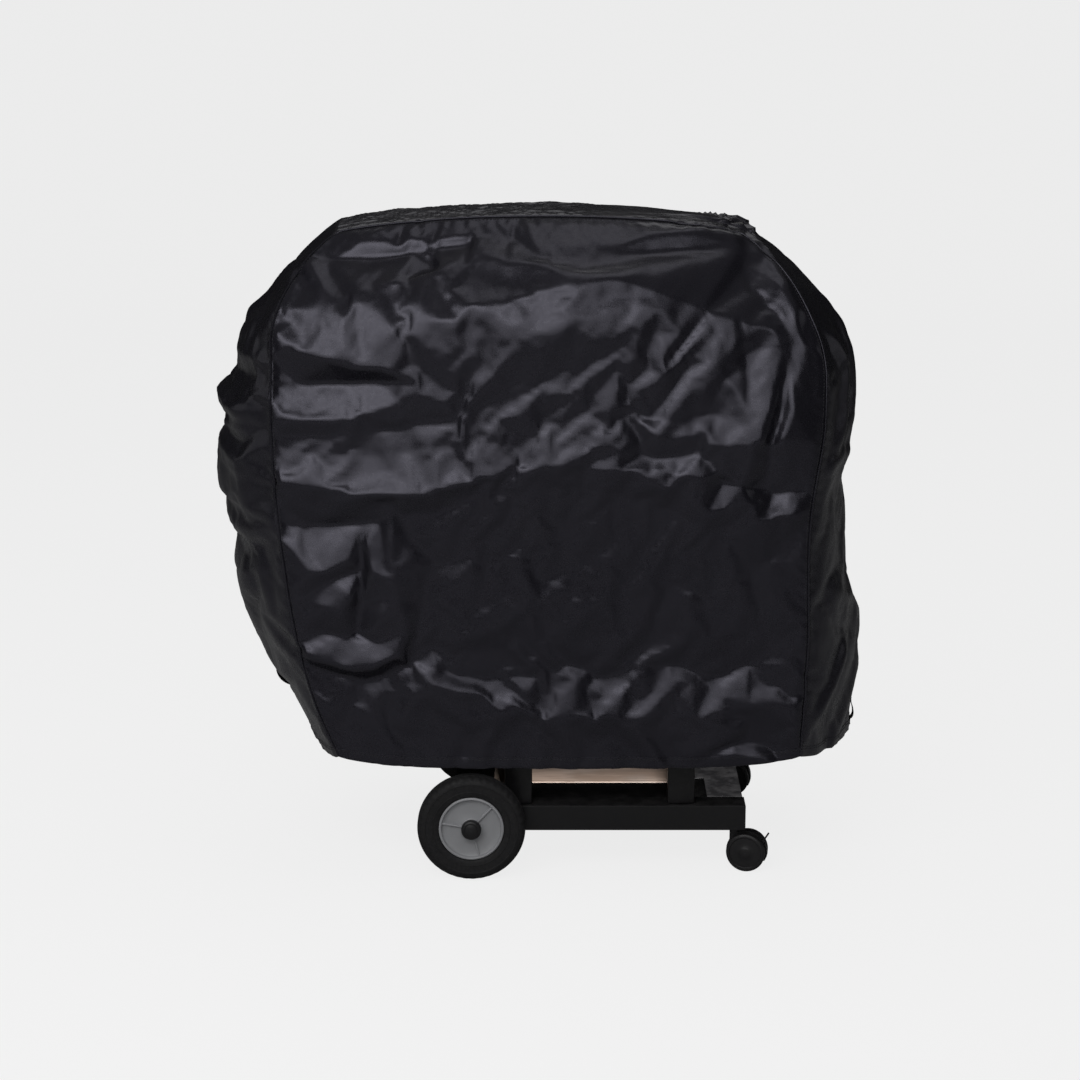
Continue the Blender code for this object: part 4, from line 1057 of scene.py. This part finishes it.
def tie_loop(name, sheet_points, sign, y, top_z, drop, reach):
    """A loop of webbing sewn on by its two ends, hanging a little open."""
    top = cloth_at(sheet_points, sign, y, top_z)
    low = cloth_at(sheet_points, sign, y, top_z - drop)
    half = 0.011
    inner = [top + (0, 0, 0.012), top, low, low - (0, 0, 0.012)]
    out = np.array((sign, 0, 0))
    path = [inner[0] + out * 0.0012, inner[1] + out * 0.0016]
    for t in np.linspace(0.08, 0.92, 9):
        path.append(top * (1 - t) + low * t + out * (0.0016 + reach * math.sin(math.pi * t) ** 0.7)
                    - (0, 0, 0.005 * math.sin(math.pi * t)))
    path += [inner[2] + out * 0.0016, inner[3] + out * 0.0012]
    path = np.array(path)
    ahead = np.gradient(path, axis=0)
    ahead /= np.linalg.norm(ahead, axis=1, keepdims=True)
    lift = np.stack([ahead[:, 2], 0 * ahead[:, 2], -ahead[:, 0]], axis=1) * -sign
    thick = 0.0014
    profile = [(-half, 0), (-half + 0.0012, thick / 2), (half - 0.0012, thick / 2), (half, 0),
               (half - 0.0012, -thick / 2), (-half + 0.0012, -thick / 2)]
    ring = np.stack([path + np.array((0, w, 0)) + lift * t for w, t in profile], axis=1)
    index = np.arange(ring.shape[0] * 6).reshape(-1, 6)
    faces = square_faces(wrapped(index)) + [list(index[0][::-1]), list(index[-1])]
    add(solid(name + "_webbing", ring.reshape(-1, 3), faces, WEBBING, 60), "cover", "cover_vinyl", name)
    rows = []
    for middle in (path[0] * 0.5 + path[1] * 0.5, path[-1] * 0.5 + path[-2] * 0.5):
        for step in (-0.0045, 0.0045):
            line = np.array([middle + (0, w, step) + out * 0.0009 for w in np.linspace(-0.009, 0.009, 5)])
            rows.append((line, np.tile(out, (5, 1)).astype(float)))
    add(stitches(name + "_bar_tacks", rows, 0.0032, 0.0027, 0.0004), "cover", "cover_vinyl")


# ---- the wheels ---------------------------------------------------------------------------------

WHEEL_X, WHEEL_Y, WHEEL_RADIUS, WHEEL_HALF = -0.130, 0.284, 0.1025, 0.021
RIM_RADIUS = 0.0615
RIB_ANGLES = (47, 170, 285)


def tyre_section():
    """(radius, along) of a solid tyre: ringed sidewalls, rounded shoulders and three tread grooves."""
    wall = [(0.0618, 0.0150), (0.0634, 0.0176), (0.0664, 0.0190), (0.0700, 0.0196), (0.0716, 0.0199),
            (0.0722, 0.0206), (0.0738, 0.0208), (0.0746, 0.0200), (0.0800, 0.0204), (0.0862, 0.0206),
            (0.0870, 0.0213), (0.0888, 0.0214), (0.0896, 0.0205), (0.0940, 0.0196), (0.0970, 0.0180),
            (0.0996, 0.0152), (0.1012, 0.0126), (0.1020, 0.0104)]
    tread = []
    for middle in (0.0068, 0.0, -0.0068):
        tread += [(WHEEL_RADIUS, middle + 0.0014), (0.1008, middle + 0.0009)]
        tread += [(0.1008, middle - 0.0009), (WHEEL_RADIUS, middle - 0.0014)]
    return wall + tread + [(r, -y) for r, y in reversed(wall)]


def lugged(radius, along, angle):
    """Cross grooves over the tyre's shoulders."""
    notch = (np.sin(angle * 40) > 0.35) & (radius > 0.0945) & (np.abs(along) > 0.0095)
    return radius - 0.0016 * notch


def rim_piece(name, side):
    centre = (WHEEL_X, side * WHEEL_Y, WHEEL_RADIUS)
    bore, hub, inside = 0.0053, 0.0165, RIM_RADIUS - 0.0052
    front = [(bore + 0.0004, 0.0170), (hub - 0.0010, 0.0170), (hub, 0.0160), (hub + 0.0008, 0.0122),
             (hub + 0.0026, 0.0110), (0.0330, 0.0106), (0.0440, 0.0104), (inside - 0.0030, 0.0110),
             (inside - 0.0008, 0.0124), (inside, 0.0158), (inside + 0.0010, 0.0176),
             (inside + 0.0026, 0.0182), (RIM_RADIUS - 0.0012, 0.0178), (RIM_RADIUS, 0.0166)]
    rear = [(RIM_RADIUS, -0.0166), (RIM_RADIUS - 0.001, -0.0172), (inside, -0.0170), (inside - 0.001, 0.0060),
            (hub + 0.0015, 0.0066), (hub, 0.0050), (hub, -0.0165), (bore + 0.0004, -0.0170), (bore, -0.0160),
            (bore, 0.0160)]
    profile = [(r, side * y) for r, y in front + rear]
    parts = [lathe("rim", profile, centre, (0, 1, 0), FINISHES["rim_plastic"], 120)]
    for degrees in RIB_ANGLES:
        a = math.radians(degrees)
        direction = Vector((math.cos(a), 0, math.sin(a)))
        inner, end = hub - 0.001, inside + 0.001
        middle = Vector(centre) + direction * (inner + end) / 2 + Vector((0, side * 0.0122, 0))
        turn = Matrix((direction, (0, 1, 0), direction.cross(Vector((0, 1, 0))))).transposed().to_4x4()
        size = Vector((end - inner, 0.0056, 0.0034))
        place = Matrix.Translation(middle) @ turn
        parts.append(soft_box("rib", size, place, 0.0009, FINISHES["rim_plastic"]))
    return joined(name, parts)


def large_wheel(end, side):
    body = end + "_wheel"
    centre = (WHEEL_X, side * WHEEL_Y, WHEEL_RADIUS)
    tyre = lathe(end + "_tyre_moulding", tyre_section(), centre, (0, 1, 0), FINISHES["wheel_rubber"], 200,
                 change=lugged, sharp_over=28)
    add(tyre, body, "wheel_rubber", end + "_wheel_tyre")
    add(rim_piece(end + "_rim_moulding", side), body, "rim_plastic", end + "_wheel_rim")
    cap_y = WHEEL_Y + WHEEL_HALF
    cap = [(0.0053, -0.0034), (0.0186, -0.0034), (0.0190, -0.0026), (0.0190, 0.0040), (0.0184, 0.0056),
           (0.0168, 0.0070), (0.0150, 0.0078), (0.0140, 0.0080), (0.0136, 0.0074), (0.0128, 0.0074),
           (0.0122, 0.0084), (0.0085, 0.0097), (0.0040, 0.0104), (0.0003, 0.0106), (0.0003, 0.0062),
           (0.0053, 0.0062)]
    cap = lathe(end + "_hub_cap", [(r, side * y) for r, y in cap], (WHEEL_X, side * cap_y, WHEEL_RADIUS),
                (0, 1, 0), FINISHES["black_plastic"], 64)
    add(cap, "cart", "black_plastic", end + "_axle_cap")


STEM_X, STEM_Y, TRAIL, CASTER_RADIUS = 0.374, 0.2275, 0.024, 0.0375


def caster_wheels(end, side, degrees):
    """Two dished discs with a rounded tread and a raised hub, either side of the caster's body."""
    a = math.radians(degrees)
    along = Vector((-math.sin(a), math.cos(a), 0))
    centre = Vector((STEM_X + TRAIL * math.cos(a), side * STEM_Y + TRAIL * math.sin(a), CASTER_RADIUS))
    disc = [(0.0034, 0.0066), (0.0090, 0.0066), (0.0100, 0.0072), (0.0280, 0.0074), (0.0330, 0.0068),
            (0.0352, 0.0070), (0.0368, 0.0084), (0.0375, 0.0110), (0.0375, 0.0178), (0.0368, 0.0204),
            (0.0350, 0.0219), (0.0326, 0.0224), (0.0308, 0.0222), (0.0300, 0.0212), (0.0292, 0.0206),
            (0.0200, 0.0209), (0.0110, 0.0214), (0.0098, 0.0222), (0.0086, 0.0227), (0.0030, 0.0229),
            (0.0002, 0.0229), (0.0002, 0.0186), (0.0034, 0.0186)]
    for label, way in (("outer", side), ("inner", -side)):
        profile = [(r, way * y) for r, y in disc]
        obj = lathe(f"{end}_caster_{label}_disc", profile, centre, along, FINISHES["caster_plastic"], 96)
        add(obj, end + "_caster_wheels", "caster_plastic", f"{end}_caster_{label}_wheel")


def corner_shade_plates():
    """A dark plate that closes the step where each corner of the right side beam is cut back. It is painted
    shade: it stands in for the shadow in that gap, which would otherwise show the bright floor.
    """
    for name, side in (("front", -1), ("rear", 1)):
        place = Matrix.Translation((0.3130, side * 0.0862, 0.1084))
        size = Vector((0.0460, 0.0016, 0.0488))
        plate = soft_box(name + "_corner_shade_plate", size, place, 0.0006, FINISHES["painted_steel"])
        add(plate, "cart", "painted_steel")


# ---- what stays of the CAD ----------------------------------------------------------------------

EDGE_WIDTH = {"painted_steel": 0.0008, "black_plastic": 0.0007, "caster_plastic": 0.0008,
              "bare_steel": 0.0004, "cast_aluminium": 0.0016, "shelf_wood": 0.0012,
              "side_shelf_wood": 0.0016}


def dress_cad_nodes():
    """Soft edges and a detailed finish for every CAD node that still shows."""
    slots = {part["node"]: part["material_slot"] for part in frame["record"]["subparts"]}
    for node, obj in NODES.items():
        slot = slots[node]
        obj.data.materials.clear()
        obj.data.materials.append(FINISHES[slot])
        if "custom_normal" in obj.data.attributes:
            obj.data.attributes.remove(obj.data.attributes["custom_normal"])
        obj.data.shade_smooth()
        weld = obj.modifiers.new("weld", "WELD")
        weld.merge_threshold = 1e-5
        soft = obj.modifiers.new("soft_edges", "BEVEL")
        soft.width = EDGE_WIDTH.get(slot, 0.0008)
        soft.segments = 2
        soft.limit_method = "ANGLE"
        soft.angle_limit = math.radians(30)
        soft.harden_normals = True


# ---- stage, light and camera --------------------------------------------------------------------


def path_share(tree, which):
    return tree.nodes.new("ShaderNodeLightPath").outputs[which]


def backdrop():
    """A pale floor that sweeps up behind."""
    f = Finish("backdrop")
    f.set(base_color=f.mix(f.noise(2.5, 4), (0.80, 0.80, 0.80), (0.86, 0.86, 0.86)), roughness=0.8)
    f.bump(f.noise(400, 3), 0.0002, 0.2)
    tree = f.tree
    glow = tree.nodes.new("ShaderNodeEmission")
    glow.inputs["Color"].default_value = (1, 1, 1, 1)
    glow.inputs["Strength"].default_value = BACKDROP_GLOW
    dim = tree.nodes.new("ShaderNodeBsdfDiffuse")
    height = tree.nodes.new("ShaderNodeSeparateXYZ")
    tree.links.new(f.place, height.inputs[0])
    floor, wall = ((c, c, c) for c in BACKDROP_IN_GLOSS)
    f.put(dim.inputs["Color"], f.mix(f.spread(height.outputs["Z"], 0.0, 0.5), floor, wall))
    seen, inner = tree.nodes.new("ShaderNodeMixShader"), tree.nodes.new("ShaderNodeMixShader")
    inner.inputs[0].default_value = BACKDROP_SHADOW
    tree.links.new(glow.outputs[0], inner.inputs[1])
    tree.links.new(f.shader.outputs[0], inner.inputs[2])
    tree.links.new(path_share(tree, "Is Camera Ray"), seen.inputs[0])
    tree.links.new(dim.outputs[0], seen.inputs[1])
    tree.links.new(inner.outputs[0], seen.inputs[2])
    out = next(n for n in tree.nodes if n.type == "OUTPUT_MATERIAL")
    tree.links.new(seen.outputs[0], out.inputs["Surface"])
    outline = [(0.0, 0.0), (6.5, 0.0)]
    outline += [(6.5 + 2 * math.sin(t), 2 - 2 * math.cos(t)) for t in np.linspace(0.15, math.pi / 2, 10)]
    outline += [(8.5, 9.0)]
    turns = [(math.cos(a), math.sin(a)) for a in np.linspace(0, 2 * math.pi, 96, endpoint=False)]
    points = [(r * x, r * y, z - 0.0005) for r, z in outline[1:] for x, y in turns]
    ring = np.arange(len(points)).reshape(-1, len(turns))
    faces = square_faces(wrapped(ring)) + [list(range(len(turns)))]
    mesh_object("backdrop", points, faces, f.material)


def softbox(name, place, target, size, power):
    light = bpy.data.lights.new(name, "AREA")
    light.shape = "RECTANGLE"
    light.size, light.size_y = size
    light.energy = power
    obj = in_scene(name, light)
    obj.location = place
    obj.rotation_euler = (Vector(target) - Vector(place)).to_track_quat("-Z", "Y").to_euler()
    obj.visible_camera = False
    return obj


def surroundings():
    """White to the camera, dim in reflections, so that glossy black shows the softboxes' shapes."""
    world = bpy.data.worlds.new("surroundings")
    world.use_nodes = True
    tree = world.node_tree
    tree.nodes.clear()
    layers = []
    for strength in (WORLD_DIFFUSE, WORLD_GLOSS, 1.0):
        node = tree.nodes.new("ShaderNodeBackground")
        node.inputs["Color"].default_value = (1, 1, 1, 1)
        node.inputs["Strength"].default_value = strength
        layers.append(node.outputs[0])
    for which, upper in (("Is Glossy Ray", layers[1]), ("Is Camera Ray", layers[2])):
        mix = tree.nodes.new("ShaderNodeMixShader")
        tree.links.new(path_share(tree, which), mix.inputs[0])
        tree.links.new(layers[0], mix.inputs[1])
        tree.links.new(upper, mix.inputs[2])
        layers[0] = mix.outputs[0]
    out = tree.nodes.new("ShaderNodeOutputWorld")
    tree.links.new(layers[0], out.inputs["Surface"])
    SCENE.world = world


BACKDROP_GLOW, BACKDROP_SHADOW, BACKDROP_IN_GLOSS = 0.97, 0.16, (0.42, 0.08)
WORLD_DIFFUSE, WORLD_GLOSS = 0.35, 0.12
MIDDLE = (0.0, 0.0, 0.70)
SLATS = (0.1, -0.1, 0.13)
SOFTBOXES = {  # place, what it is aimed at, size, watts
    "low": ((0.27, -2.2, 1.02), SLATS, (0.4, 0.4), 143),
    "wide": ((-0.70, -3.00, 2.00), MIDDLE, (3.8, 2.3), 34),
    "main": ((-0.95, -2.50, 2.45), MIDDLE, (2.2, 1.2), 14),
    "left": ((-3.10, 0.10, 1.40), MIDDLE, (2.2, 1.6), 3),
    "right": ((3.10, -0.10, 1.50), MIDDLE, (2.0, 1.4), 2.5),
    "top": ((0.2, -0.2, 3.4), MIDDLE, (1.6, 1.0), 4),
    "back": ((0.2, 2.3, 3.3), MIDDLE, (3.0, 1.5), 9),
}
LIT_BY_LOW = ("shelf_slat_2", "shelf_slat_3", "shelf_slat_4", "right_side_beam")
CAMERA_PLACE, CAMERA_PITCH = (0, -5.45, 1.891), 13.4  # degrees below level
LENS, SENSOR_WIDTH = 95.6, 36


def light_only(light, nodes):
    """Keeps a light for a few pieces. Everything except the cover casts shadows in it."""
    lit = bpy.data.collections.new("lit_by_" + light.name)
    for node in nodes:
        lit.objects.link(NODES[node])
    blocking = bpy.data.collections.new("blocking_" + light.name)
    for obj in SCENE.objects:
        if obj.type == "MESH" and not obj.name.startswith("cover"):
            blocking.objects.link(obj)
    light.light_linking.receiver_collection = lit
    light.light_linking.blocker_collection = blocking


def light_and_camera():
    surroundings()
    boxes = {name: softbox(name + "_softbox", *values) for name, values in SOFTBOXES.items()}
    light_only(boxes["low"], LIT_BY_LOW)
    lens = bpy.data.cameras.new("camera")
    lens.lens, lens.sensor_width = LENS, SENSOR_WIDTH
    camera = in_scene("camera", lens)
    camera.location = CAMERA_PLACE
    camera.rotation_euler = (math.radians(90 - CAMERA_PITCH), 0, 0)
    SCENE.camera = camera
    SCENE.view_settings.view_transform = "Standard"


# ---- everything together ------------------------------------------------------------------------

dress_cad_nodes()
cover, cover_points, cover_normals = cover_form()
cover_panels(cover, cover_points)
seams(cover, cover_points, cover_normals)
hem(cover, cover_points, cover_normals)
tie_loop("left_tie_loop", cover_points, -1, -0.02, 0.338, 0.030, 0.0075)
tie_loop("right_tie_loop", cover_points, 1, -0.02, 0.270, 0.030, 0.0055)
for wheel_end, wheel_side, caster_turn in (("front", -1, -15), ("rear", 1, -12)):
    large_wheel(wheel_end, wheel_side)
    caster_wheels(wheel_end, wheel_side, caster_turn)
corner_shade_plates()
backdrop()
light_and_camera()
